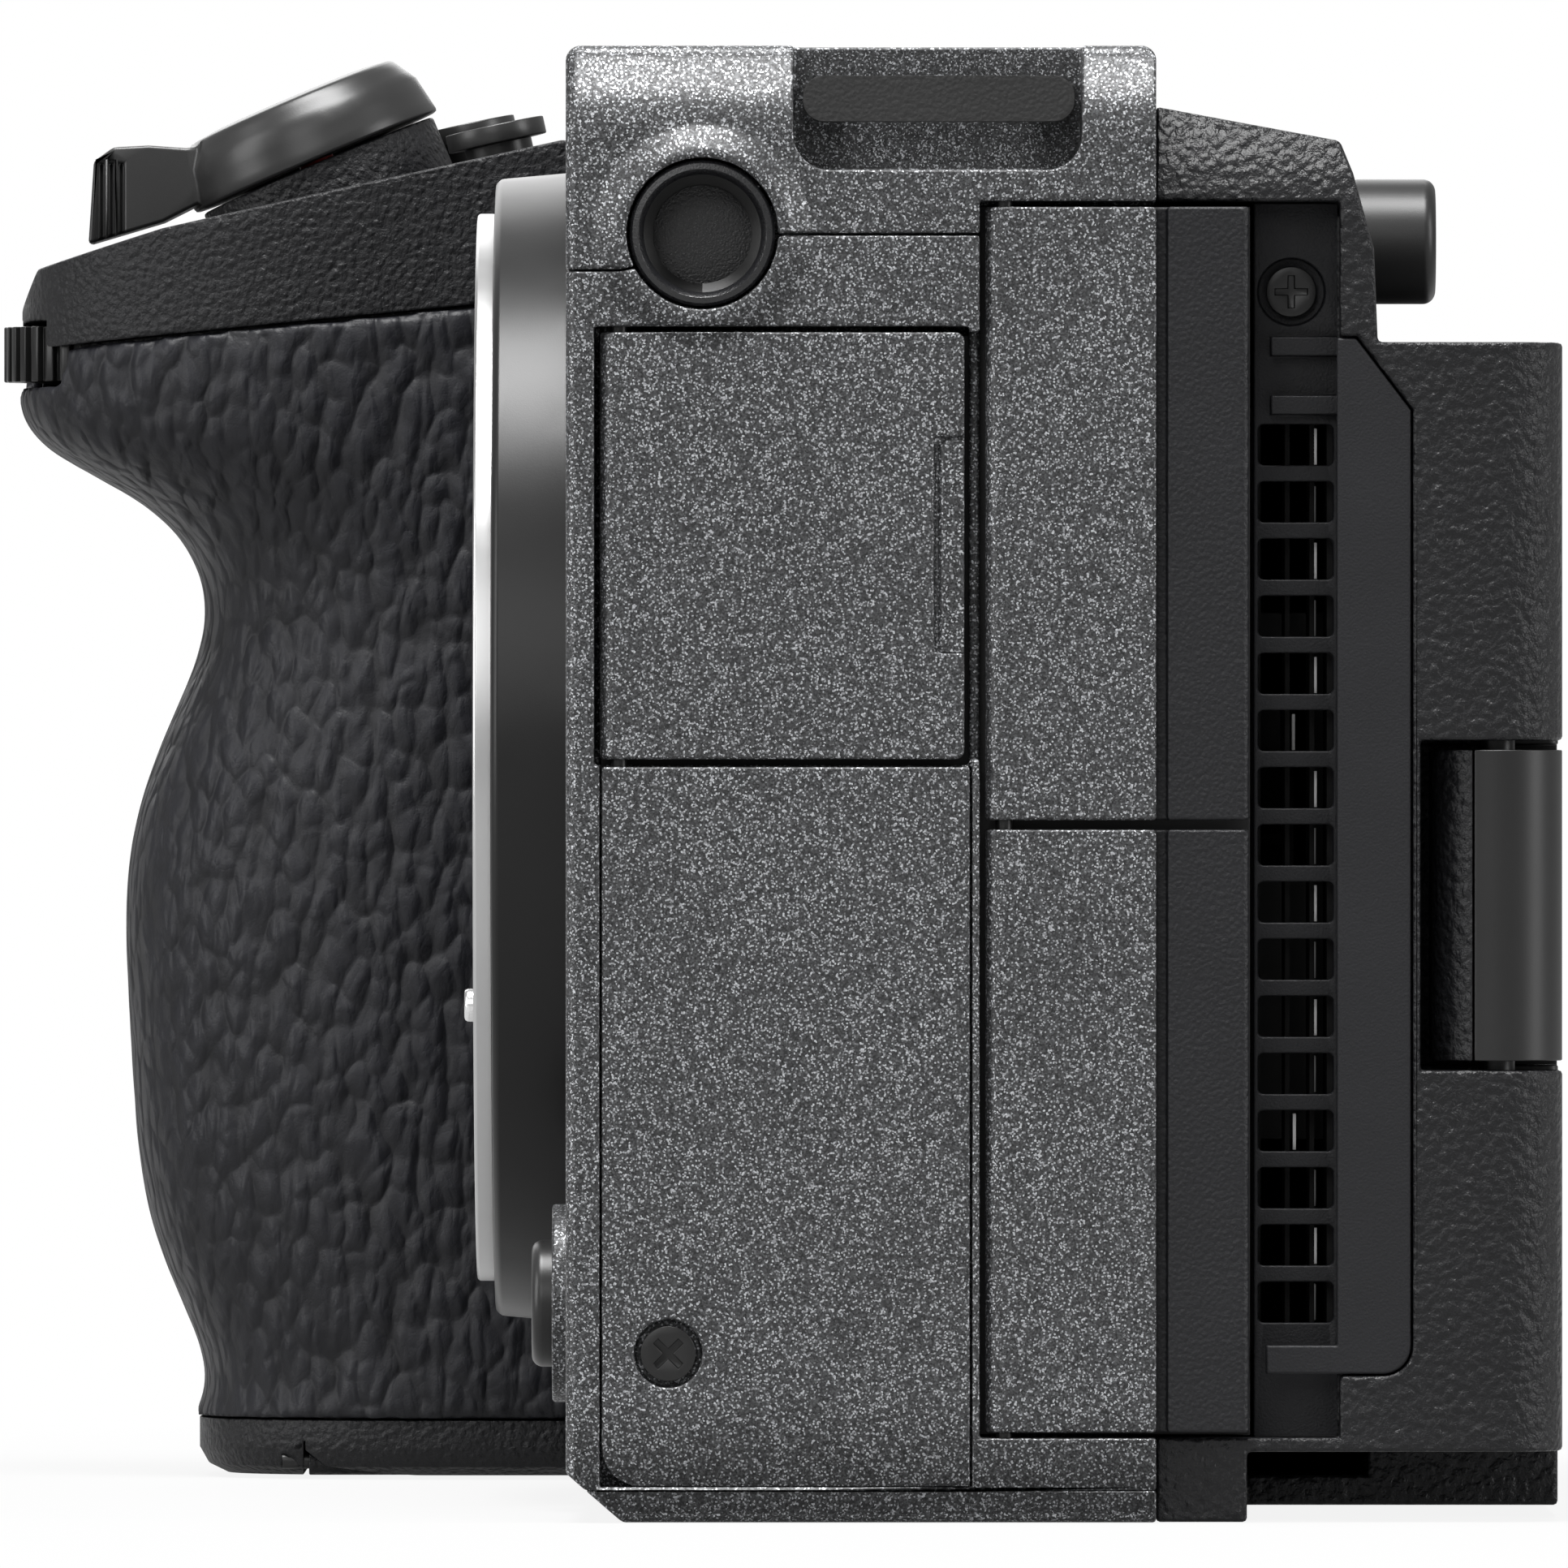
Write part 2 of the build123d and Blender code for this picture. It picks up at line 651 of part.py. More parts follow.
with BuildPart() as rear_cover:
    with BuildSketch(side_plane(right_x)) as side_profile:
        with BuildLine():
            Polyline(
                (metal_rear_y, 0.0),
                (24.4, 0.0),
                (24.4, controls_foot_z),
                (rear_y, controls_foot_z),
                (rear_y, shelf_z),
                *rear_top_points,
                close=True,
            )
        make_face()
    extrude(amount=wall_left_x - right_x)
    # Soft edges round the rear: wall corner on the left, control side on the right
    corner_edges = rear_cover.edges().filter_by(Axis.Z).group_by(Axis.Y)[-1]
    fillet(corner_edges.sort_by(Axis.X)[-1], corner_r)
    fillet(corner_edges.sort_by(Axis.X)[0], 8.0)
    # The left end is cut up under the hinge wall
    block((43.0, wall_left_x), (24.4, rear_y), (controls_foot_z, block_z[0]), Mode.SUBTRACT)
    # The control side lies further forward than the monitor
    with BuildSketch(level_plane(0.0)):
        with BuildLine():
            Polyline(
                (right_x, control_face_y),
                (control_left_x - 2.6, control_face_y),
                (control_left_x, rear_y),
                (right_x, rear_y),
                close=True,
            )
        make_face()
    extrude(amount=shelf_z + 3, mode=Mode.SUBTRACT)
    # Monitor recess
    block(recess_x, (recess_floor_y, rear_y), (panel_z[0] - moving_gap - 0.1, shelf_z + 1), Mode.SUBTRACT)
    # Round back of the left wall, which the monitor's edge swings past
    with BuildSketch(level_plane(block_z[0])) as sweep:
        rect(left_wall_inner_x, wall_left_x + 0.1, swing_y, rear_y + 0.1)
        with Locations((swing_x, swing_y)):
            Circle(swing_x - panel_left_x - moving_gap, mode=Mode.SUBTRACT)
    extrude(sweep.sketch, amount=shelf_z - block_z[0], mode=Mode.SUBTRACT)
    # Gap for the hinge arm in the left wall
    block((left_wall_inner_x - 1, wall_left_x), (vent_frame_y[1] + 0.5, rear_y), hinge_wall_z, Mode.SUBTRACT)
    # Room inside
    block((right_x + wall, wall_left_x - wall), (metal_rear_y, 28.6), (2.2, 70.8), Mode.SUBTRACT)
    block((right_x + wall, wall_left_x - wall), (28.6, 29.4), (2.2, 69.0), Mode.SUBTRACT)
    block((right_x + wall, 47.0), (29.4, rear_inner_y), (2.2, 59.5), Mode.SUBTRACT)
    block((right_x + 3.4, control_left_x - 4.4), (rear_inner_y, control_face_y - wall), (2.6, 58.5), Mode.SUBTRACT)
    # Open left side behind the port doors and the vent
    block((47.0, wall_left_x), (metal_rear_y, vent_y[1]), (usb_door_z[0] - moving_gap, hdmi_door_z[1] + moving_gap),
          Mode.SUBTRACT)
    # Seat of the smooth vent frame
    with BuildSketch(side_plane(wall_left_x - vent_frame_thick)):
        vent_frame_outline(seam_gap)
    extrude(amount=vent_frame_thick, mode=Mode.SUBTRACT)
    # Bores for the swing pin of the monitor
    rod_z(swing_x, swing_y, swing_pin_r, (hinge_wall_z[0] - 1.6, hinge_wall_z[0]), Mode.SUBTRACT)
    rod_z(swing_x, swing_y, swing_pin_r, (hinge_wall_z[1], hinge_wall_z[1] + 1.6), Mode.SUBTRACT)
    # Rear dial slot
    rod_z(rear_dial_x, rear_dial_y, rear_dial_r + moving_gap, (rear_dial_z[0] - moving_gap, rear_dial_z[1] + moving_gap),
          Mode.SUBTRACT)
    rod_z(rear_dial_x, rear_dial_y, 1.2 + running_fit, (rear_dial_z[1], rear_dial_z[1] + 1.6), Mode.SUBTRACT)
    # Openings for the joystick, the control wheel and the buttons
    rod_y(stick_x, stick_z, 2.6, (28.4, 33.0), Mode.SUBTRACT)
    rod_y(wheel_x, wheel_z, wheel_r + moving_gap, (control_face_y - 1.0, control_face_y), Mode.SUBTRACT)
    rod_y(wheel_x, wheel_z, wheel_hub_r + running_fit, (control_face_y - wall, control_face_y), Mode.SUBTRACT)
    for x, z in rear_buttons.values():
        rod_y(x, z, rear_button_r + moving_gap, (control_face_y - wall, control_face_y), Mode.SUBTRACT)
rear_cover.part.label = "rear_cover"
export_step(rear_cover.part, "parts/rear_cover.step")

# Smooth frame beside the vent
with BuildPart() as vent_frame:
    with BuildSketch(side_plane(wall_left_x - vent_frame_thick)):
        vent_frame_outline(0.0)
    extrude(amount=vent_frame_thick - 0.1)
    fillet(vent_frame.faces().sort_by(Axis.X)[-1].edges(), 0.15)
vent_frame.part.label = "vent_frame"
export_step(vent_frame.part, "parts/vent_frame.step")

# Vent grille with its row of slots, stub bars above and screw seat
with BuildPart() as vent_grille:
    block(
        (vent_face_x - grille_thick, vent_face_x),
        (vent_y[0], vent_y[1]),
        (usb_door_z[0] - moving_gap, hdmi_door_z[1] + moving_gap),
    )
    slot_height = vent_pitch - vent_bar
    for i in range(vent_count):
        high = vent_slot_top_z - i * vent_pitch
        with BuildSketch(side_plane(vent_face_x - grille_thick)):
            rect(vent_slot_y[0], vent_slot_y[1], high - slot_height, high, 0.3)
        extrude(amount=grille_thick, mode=Mode.SUBTRACT)
    for low, high in [(61.5, 62.5), (58.4, 59.4)]:
        block((vent_face_x, vent_face_x + 1.2), (25.7, vent_y[1]), (low, high))
    with BuildSketch(side_plane(vent_face_x - 0.9)):
        with Locations(vent_screw):
            Circle(vent_screw_r + 0.45)
    extrude(amount=0.9, mode=Mode.SUBTRACT)
    rod_x(vent_screw[0], vent_screw[1], 0.7, (vent_face_x - grille_thick, vent_face_x - 0.9), Mode.SUBTRACT)
vent_grille.part.label = "vent_grille"
export_step(vent_grille.part, "parts/vent_grille.step")

# Connector panel behind the port doors
panel_back_x = connector_face_x - connector_thick
hdmi_mouth = (4.6, 14.2)
multi_mouth = (2.6, 9.6)
usb_mouth = (2.7, 8.5)
shell_skin = 0.35
with BuildPart() as connector_panel:
    with BuildSketch(side_plane(panel_back_x)):
        rect(front_inner_y, port_door_y[0] - 0.4, mic_door_z[0] - 0.8, 62.6)
        rect(mic_door_y[1] + 0.4, port_door_y[1] + 0.1, usb_door_z[0] - 0.2, hdmi_door_z[1] + 0.1)
        for z in (mic_jack_z, phone_jack_z):
            with Locations((jack_y, z)):
                Circle(jack_r + 1.3, mode=Mode.SUBTRACT)
        for z, mouth in [(hdmi_port_z, hdmi_mouth), (multi_port_z, multi_mouth), (usb_port_z, usb_mouth)]:
            with Locations((port_y, z)):
                RectangleRounded(
                    mouth[0] + 2 * shell_skin,
                    mouth[1] + 2 * shell_skin,
                    0.8,
                    mode=Mode.SUBTRACT,
                )
    extrude(amount=connector_thick)
connector_panel.part.label = "connector_panel"
export_step(connector_panel.part, "parts/connector_panel.step")

# Microphone and headphone jacks
with BuildPart() as audio_jacks:
    for z in (mic_jack_z, phone_jack_z):
        block((panel_back_x - jack_depth + 1.0, panel_back_x), (jack_y - 3.1, jack_y + 3.1), (z - 3.6, z + 3.6))
        rod_x(jack_y, z, jack_r + 1.3, (panel_back_x, connector_face_x + 0.2))
        rod_x(jack_y, z, jack_r, (connector_face_x + 0.2 - jack_depth, connector_face_x + 0.2), Mode.SUBTRACT)
audio_jacks.part.label = "audio_jacks"
export_step(audio_jacks.part, "parts/audio_jacks.step")

# Data sockets: folded metal shells with their tongues
with BuildPart() as data_sockets:
    for z, mouth, depth in [
        (hdmi_port_z, hdmi_mouth, 11.0),
        (multi_port_z, multi_mouth, 7.5),
        (usb_port_z, usb_mouth, 8.0),
    ]:
        with BuildSketch(side_plane(connector_face_x - depth)):
            with Locations((port_y, z)):
                RectangleRounded(mouth[0] + 2 * shell_skin, mouth[1] + 2 * shell_skin, 0.8)
        extrude(amount=depth)
        with BuildSketch(side_plane(connector_face_x - depth + 0.6)):
            with Locations((port_y, z)):
                RectangleRounded(mouth[0], mouth[1], 0.5)
        extrude(amount=depth - 0.6, mode=Mode.SUBTRACT)
        block(
            (connector_face_x - depth + 0.6, connector_face_x - 1.2),
            (port_y - 0.35, port_y + 0.35),
            (z - mouth[1] / 2 + 1.0, z + mouth[1] / 2 - 1.0),
        )
data_sockets.part.label = "data_sockets"
export_step(data_sockets.part, "parts/data_sockets.step")

# Doors over the ports, turning on pins along their front edges
door_back_x = left_x - door_thick
with BuildPart() as mic_door:
    block((door_back_x, left_x), (mic_pin_y, mic_door_y[1]), mic_door_z)
    rod_z(hinge_x, mic_pin_y, hinge_r, mic_door_z)
    fillet(mic_door.edges().filter_by(Axis.X).group_by(Axis.Y)[-1], 0.5)
    # Hollow back and the finger tab on the free edge
    block(
        (door_back_x, door_back_x + 0.7),
        (mic_pin_y + 2.2, mic_door_y[1] - 1.0),
        (mic_door_z[0] + 1.0, mic_door_z[1] - 1.0),
        Mode.SUBTRACT,
    )
    block((left_x - 0.35, left_x), (mic_door_y[1] - 1.6, mic_door_y[1]), (45.8, 57.2), Mode.SUBTRACT)
    rod_z(hinge_x, mic_pin_y, pin_r + running_fit, mic_door_z, Mode.SUBTRACT)
mic_door.part.label = "mic_door"
export_step(mic_door.part, "parts/mic_door.step")

metal_leaf_x = left_x - 0.9
for name, door_z in [("hdmi_door", hdmi_door_z), ("usb_door", usb_door_z)]:
    with BuildPart() as door:
        block((metal_leaf_x, left_x), (port_pin_y, port_door_split_y), door_z)
        rod_z(hinge_x, port_pin_y, hinge_r, door_z)
        rod_z(hinge_x, port_pin_y, pin_r + running_fit, door_z, Mode.SUBTRACT)
    door.part.label = name
    export_step(door.part, f"parts/{name}.step")
    with BuildPart() as door_back:
        block((door_back_x, metal_leaf_x), (port_pin_y + hinge_r + 0.2, port_door_y[1]), door_z)
        block((metal_leaf_x, left_x - 0.2), (port_door_split_y + 0.6, port_door_y[1]), door_z)
        fillet(door_back.edges().filter_by(Axis.Z).group_by(Axis.Y)[-1].sort_by(Axis.X)[-1], 0.4)
        block(
            (door_back_x, door_back_x + 0.4),
            (port_pin_y + 3.0, port_door_y[1] - 1.0),
            (door_z[0] + 1.0, door_z[1] - 1.0),
            Mode.SUBTRACT,
        )
    door_back.part.label = f"{name}_back"
    export_step(door_back.part, f"parts/{name}_back.step")

# Monitor: tray, front frame and glass, in the closed place with the glass to the rear
panel_x = (panel_right_x, panel_left_x)
panel_split_y = 38.6
screen_half = (31.6, 21.2)
screen_x = panel_left_x - panel_width / 2 - 1.0
screen_z = (panel_z[0] + panel_z[1]) / 2
with BuildPart() as monitor_tray:
    block(panel_x, (panel_front_y, panel_split_y), panel_z)
    fillet(monitor_tray.edges().filter_by(Axis.Y), 2.5)
    fillet(monitor_tray.faces().sort_by(Axis.Y)[0].edges(), 0.8)
    block((panel_x[0] + 1.2, panel_x[1] - 7.2), (panel_front_y + 1.2, panel_split_y),
          (panel_z[0] + 1.2, panel_z[1] - 1.2), Mode.SUBTRACT)
    # Notch for the hinge block
    block((panel_x[1] - 2.4, panel_x[1]), (panel_front_y, panel_split_y), (arm_z[0] - 0.3, arm_z[1] + 0.3),
          Mode.SUBTRACT)
    rod_x(swing_y, tilt_z, tilt_pin_r + running_fit, (panel_x[1] - 7.0, panel_x[1]), Mode.SUBTRACT)
monitor_tray.part.label = "monitor_tray"
export_step(monitor_tray.part, "parts/monitor_tray.step")

with BuildPart() as monitor_frame:
    block(panel_x, (panel_split_y, rear_y - 0.1), panel_z)
    fillet(monitor_frame.edges().filter_by(Axis.Y), 2.5)
    fillet(monitor_frame.faces().sort_by(Axis.Y)[-1].edges(), 0.5)
    block((panel_x[1] - 2.4, panel_x[1]), (panel_split_y, rear_y), (arm_z[0] - 0.3, arm_z[1] + 0.3), Mode.SUBTRACT)
    block((panel_x[0] + 2.2, panel_x[1] - 7.2), (rear_y - 0.1 - panel_glass_thick, rear_y),
          (panel_z[0] + 2.2, panel_z[1] - 2.2), Mode.SUBTRACT)
    block((screen_x - screen_half[0], screen_x + screen_half[0]), (panel_split_y, rear_y),
          (screen_z - screen_half[1], screen_z + screen_half[1]), Mode.SUBTRACT)
    rod_x(swing_y, tilt_z, tilt_pin_r + running_fit, (panel_x[1] - 7.0, panel_x[1]), Mode.SUBTRACT)
monitor_frame.part.label = "monitor_frame"
export_step(monitor_frame.part, "parts/monitor_frame.step")

with BuildPart() as monitor_glass:
    block((panel_x[0] + 2.3, panel_x[1] - 7.3), (rear_y - 0.1 - panel_glass_thick, rear_y - 0.25),
          (panel_z[0] + 2.3, panel_z[1] - 2.3))
    fillet(monitor_glass.edges().filter_by(Axis.Y), 1.2)
    # The display lies bonded behind the glass
    block((screen_x - screen_half[0] + 0.2, screen_x + screen_half[0] - 0.2),
          (panel_split_y - 1.0, rear_y - 0.1 - panel_glass_thick),
          (screen_z - screen_half[1] + 0.2, screen_z + screen_half[1] - 0.2))
monitor_glass.part.label = "monitor_glass"
export_step(monitor_glass.part, "parts/monitor_glass.step")

# Hinge arm: a half round block that turns on the swing pin, with the tilt shaft and a cover
with BuildPart() as monitor_arm:
    with BuildSketch(level_plane(arm_z[0])):
        with Locations((swing_x, swing_y)):
            Circle(arm_r)
        rect(arm_inner_x, swing_x, swing_y - arm_r, swing_y + arm_r)
    extrude(amount=arm_z[1] - arm_z[0])
    fillet(monitor_arm.edges().filter_by(Axis.Z).group_by(Axis.X)[0], 0.6)
    rod_z(swing_x, swing_y, swing_pin_r + running_fit, arm_z, Mode.SUBTRACT)
    rod_x(swing_y, tilt_z, tilt_pin_r, (arm_inner_x, arm_inner_x + 4.2), Mode.SUBTRACT)
    split(bisect_by=Plane.XZ.offset(-arm_split_y), keep=Keep.BOTTOM)
    rod_x(swing_y, tilt_z, tilt_pin_r, (panel_left_x - 6.8, arm_inner_x + 4.2))
monitor_arm.part.label = "monitor_arm"
export_step(monitor_arm.part, "parts/monitor_arm.step")

with BuildPart() as monitor_arm_cover:
    with BuildSketch(level_plane(arm_z[0])):
        with Locations((swing_x, swing_y)):
            Circle(arm_r)
        rect(arm_inner_x, swing_x, swing_y - arm_r, swing_y + arm_r)
    extrude(amount=arm_z[1] - arm_z[0])
    rod_z(swing_x, swing_y, swing_pin_r + running_fit, arm_z, Mode.SUBTRACT)
    rod_x(swing_y, tilt_z, tilt_pin_r, (arm_inner_x, arm_inner_x + 4.2), Mode.SUBTRACT)
    split(bisect_by=Plane.XZ.offset(-(arm_split_y - seam_gap)), keep=Keep.TOP)
monitor_arm_cover.part.label = "monitor_arm_cover"
export_step(monitor_arm_cover.part, "parts/monitor_arm_cover.step")

# Grip: front outline at each height, from the foot to the flare under the front dial
grip_front = {
    leather_foot_z: -33.2,
    12.0: -34.8,
    22.0: -36.6,
    30.0: -37.0,
    36.0: -36.6,
    41.0: -35.1,
    45.0: -33.4,
    49.0: -32.6,
    52.0: -33.5,
    55.0: -36.6,
    58.0: -41.6,
    60.5: -43.0,
    67.5: -43.0,
}


def grip_outline(front, inset):
    """Plan of the grip in the current sketch, for one front reach and one inset."""
    side = grip_inner_x - inset
    outer = right_x + inset
    rear = grip_rear_y + inset
    with BuildLine() as plan:
        Spline(
            (side, front_y - 0.6),
            (side - 0.9, front + 9.0),
            (side - 5.0 + 0.3 * inset, front + 2.2 + 0.6 * inset),
            (side - 12.5, front + inset),
            (outer + 10.5, front + 1.0 + inset),
            (outer + 3.0, front + 7.5 + 0.4 * inset),
            (outer + 0.5, front + 17.0),
            (outer, rear),
            tangents=((0, -1), (0, 1)),
        )
        Polyline((outer, rear), (side, rear), (side, front_y - 0.6))
    make_face(plan.edges())


def grip_loft(inset):
    """Loft the grip through its heights in the current part."""
    sections = []
    for z, front in grip_front.items():
        with BuildSketch(level_plane(z)) as section:
            grip_outline(front, inset)
        sections.append(section.sketch)
    loft(sections)


def above_grip_seam(gap):
    """Sketch outline of all that lies above the seam under the grip's top cover."""
    with BuildLine() as seam:
        Polyline(
            (-50.0, grip_seam_z + gap - (50.0 + grip_rear_y) * grip_seam_slope),
            (grip_rear_y, grip_seam_z + gap),
            (metal_rear_y + 1, grip_seam_z + gap),
            (metal_rear_y + 1, top_z + 10),
            (-50.0, top_z + 10),
            close=True,
        )
    make_face(seam.edges())


with BuildPart() as grip_core:
    grip_loft(grip_skin)
    with BuildSketch(side_plane(right_x - 1)):
        above_grip_seam(0.0)
    extrude(amount=60.0, mode=Mode.SUBTRACT)

# Leather skin round the front and the right side of the grip
dial_slot_z = (front_dial_z[0] - moving_gap, front_dial_z[1] + moving_gap)
dial_x = zoom_x
with BuildPart() as grip_leather:
    grip_loft(0.0)
    with BuildSketch(side_plane(right_x - 1)):
        above_grip_seam(-seam_gap)
    extrude(amount=60.0, mode=Mode.SUBTRACT)
    add(grip_core.part, mode=Mode.SUBTRACT)
    # Notch for the front dial, open at the top
    block(
        (dial_x - front_dial_r - moving_gap, dial_x + front_dial_r + moving_gap),
        (front_dial_y - 2 * front_dial_r, front_dial_y + moving_gap),
        (dial_slot_z[0], grip_seam_z),
        Mode.SUBTRACT,
    )
grip_leather.part.label = "grip_leather"
export_step(grip_leather.part, "parts/grip_leather.step")

# Grip housing under the leather, with the battery bay, the card bay and the foot
bay_gap = 0.25
battery_low = (battery_x - battery_size[0] / 2, battery_y - battery_size[1] / 2, battery_foot_z)
battery_high = (battery_x + battery_size[0] / 2, battery_y + battery_size[1] / 2, battery_foot_z + battery_size[2])
card_y = (13.6, 18.6)
card_z = (22.0, 50.0)
card_depth_x = -44.0
card_door_y = (2.6, 19.0)
card_door_z = (18.0, 54.0)
card_door_x = right_x + 1.5
battery_door_x = (-68.8, -43.0)
battery_door_y = (-26.6, 14.2)
battery_hinge = (battery_door_x[1] - 0.8, grip_foot_z + 0.8)
card_hinge = (right_x + 0.8, card_door_y[1] - 0.8)
with BuildPart() as grip_shell:
    add(grip_core.part)
    block((right_x, metal_right_x), (grip_rear_y, metal_rear_y), (grip_foot_z, grip_seam_z))
    block((grip_inner_x, metal_right_x), (front_y, grip_rear_y + 1), (grip_foot_z, grip_seam_z - 0.4))
    foot_sections = []
    for z, inset in [(grip_foot_z, 2.0), (grip_foot_z + 0.5, 0.8), (grip_foot_z + 1.4, 0.3)]:
        with BuildSketch(level_plane(z)) as section:
            grip_outline(grip_front[leather_foot_z], inset)
        foot_sections.append(section.sketch)
    loft(foot_sections, ruled=True)
    with BuildSketch(level_plane(grip_foot_z + 1.4)) as foot:
        grip_outline(grip_front[leather_foot_z], 0.3)
    extrude(foot.sketch, amount=leather_foot_z - seam_gap - grip_foot_z - 1.4)
    # Battery bay, open below
    block(
        (battery_low[0] - bay_gap, battery_high[0] + bay_gap),
        (battery_low[1] - bay_gap, battery_high[1] + bay_gap),
        (grip_foot_z, battery_high[2] + 0.6),
        Mode.SUBTRACT,
    )
    block(
        (battery_door_x[0] - moving_gap, battery_door_x[1] + moving_gap),
        (battery_door_y[0] - moving_gap, battery_door_y[1] + moving_gap),
        (grip_foot_z, grip_foot_z + battery_door_thick + moving_gap),
        Mode.SUBTRACT,
    )
    # Card bay, open to the right side, under its door
    block((right_x, card_depth_x), card_y, card_z, Mode.SUBTRACT)
    block(
        (right_x, card_door_x + moving_gap),
        (card_door_y[0] - moving_gap, card_door_y[1] + moving_gap),
        (card_door_z[0] - moving_gap, card_door_z[1] + moving_gap),
        Mode.SUBTRACT,
    )
    rod_z(dial_x, front_dial_y, front_dial_r + moving_gap, dial_slot_z, Mode.SUBTRACT)
    rod_z(dial_x, front_dial_y, 1.0 + running_fit, (front_dial_z[0] - 1.2, front_dial_z[0]), Mode.SUBTRACT)
    # Bores for the pins of both doors
    rod_y(*battery_hinge, pin_r, (battery_door_y[0] - 1.5, battery_door_y[1] + 1.5), Mode.SUBTRACT)
    rod_z(*card_hinge, pin_r, (card_door_z[0] - 1.5, card_door_z[1] + 1.5), Mode.SUBTRACT)
grip_shell.part.label = "grip_shell"
export_step(grip_shell.part, "parts/grip_shell.step")

# Top cover of the grip, sloping down to the front, with the seats of its controls
zoom_plane = Plane(
    origin=(zoom_x, zoom_y, zoom_z),
    x_dir=(1, 0, 0),
    z_dir=(0, -sin(radians(zoom_tilt)), cos(radians(zoom_tilt))),
)
top_buttons = {
    "iris_button": (-46.0, -15.9, 1.7),
    "gain_button": (-58.2, -17.5, 2.4),
}
top_button_r = 2.8
top_button_thick = 1.0
top_stem_r = 1.9
switch_y = (-19.9, -14.7)
switch_x = (-69.0, -64.0)
switch_z = (74.7, 75.9)
switch_travel = 3.0
deck_wall = 2.0
lug_out = 2.6
lug_right_y = (-2.0, 12.0)
lug_feet_y = [(lug_right_y[0], lug_right_y[0] + 2.2), (lug_right_y[1] - 2.2, lug_right_y[1])]
lug_foot_z = (69.9, 71.5)
slope_foot = (-34.8, 70.0)
slope_top = (-12.5, deck_z)
deck_points = [(-43.2, 64.9), (-41.9, 67.8), slope_foot, slope_top, (metal_rear_y + 1, deck_z)]
deck_rise = (slope_top[1] - slope_foot[1]) / (slope_top[0] - slope_foot[0])


def deck_plane(x, y):
    """Plane on the sloping deck at a place."""
    tilt = atan(deck_rise)
    z = slope_foot[1] + (y - slope_foot[0]) * deck_rise
    return Plane(origin=(x, y, z), x_dir=(1, 0, 0), z_dir=(0, -sin(tilt), cos(tilt)))


def rod_on(plane, radius, span, mode=Mode.ADD):
    """Round rod along a plane's normal in the current part."""
    with BuildSketch(plane.offset(span[0])) as disc:
        Circle(radius)
    extrude(disc.sketch, amount=span[1] - span[0], mode=mode)


with BuildPart() as grip_top_cover:
    with BuildSketch(level_plane(60.0)) as plan:
        grip_outline(-43.0, 0.12)
        rect(right_x, metal_right_x - seam_gap, grip_rear_y, metal_rear_y - seam_gap)
        rect(grip_inner_x - 1.0, metal_right_x - seam_gap, front_y, grip_rear_y + 1)
    extrude(amount=deck_z - 60.0)
    with BuildSketch(side_plane(right_x - 1)):
        with BuildLine():
            Polyline(*deck_points, (metal_rear_y + 1, deck_z + 9), (-50.0, deck_z + 9), (-50.0, 64.9), close=True)
        make_face()
    extrude(amount=60.0, mode=Mode.SUBTRACT)
    with BuildSketch(side_plane(right_x - 1)):
        with BuildLine():
            Polyline(
                (-50.0, grip_seam_z - (50.0 + grip_rear_y) * grip_seam_slope),
                (grip_rear_y, grip_seam_z),
                (metal_rear_y + 1, grip_seam_z),
                (metal_rear_y + 1, 50.0),
                (-50.0, 50.0),
                close=True,
            )
        make_face()
    extrude(amount=60.0, mode=Mode.SUBTRACT)
    # Room for the switches under the deck
    room_z = (grip_seam_z - 3.0, 69.4)
    block((right_x + 6.4, grip_inner_x - deck_wall - 1.0), (-24.0, front_y + deck_wall), room_z, Mode.SUBTRACT)
    block((right_x + 6.4, metal_right_x - deck_wall), (front_y + deck_wall, metal_rear_y), room_z, Mode.SUBTRACT)
    # Round seat of the zoom ring
    with BuildSketch(zoom_plane.offset(-0.2)):
        Circle(zoom_ring_r - 0.4)
    extrude(amount=-4.4)
    with BuildSketch(zoom_plane.offset(-0.2)):
        Circle(1.2)
    extrude(amount=-2.0, mode=Mode.SUBTRACT)
    # Niche of the strap lug in the right side
    block((right_x, right_x + lug_out), (lug_right_y[0] - 0.5, lug_right_y[1] + 0.5), (68.4, 73.0), Mode.SUBTRACT)
    for y in lug_feet_y:
        block((right_x + lug_out, right_x + lug_out + 2.0), y, lug_foot_z, Mode.SUBTRACT)
    for x, y, height in top_buttons.values():
        rod_on(deck_plane(x, y), top_stem_r + moving_gap, (-2.2, 1.0), Mode.SUBTRACT)
        rod_on(deck_plane(x, y), 1.2, (-6.0, -2.2), Mode.SUBTRACT)
    block(
        (switch_x[0] + 1.6, switch_x[1] - 1.6 + switch_travel),
        (switch_y[0] + 2.0, switch_y[1] - 2.0),
        (69.0, deck_z),
        Mode.SUBTRACT,
    )
    rod_z(dial_x, front_dial_y, front_dial_r + moving_gap, dial_slot_z, Mode.SUBTRACT)
    rod_z(dial_x, front_dial_y, 1.0 + running_fit, (dial_slot_z[1], dial_slot_z[1] + 1.6), Mode.SUBTRACT)
    rod_z(rear_dial_x, rear_dial_y, rear_dial_r + moving_gap, (rear_dial_z[0] - moving_gap, rear_dial_z[1] + moving_gap),
          Mode.SUBTRACT)
grip_top_cover.part.label = "grip_top_cover"
export_step(grip_top_cover.part, "parts/grip_top_cover.step")

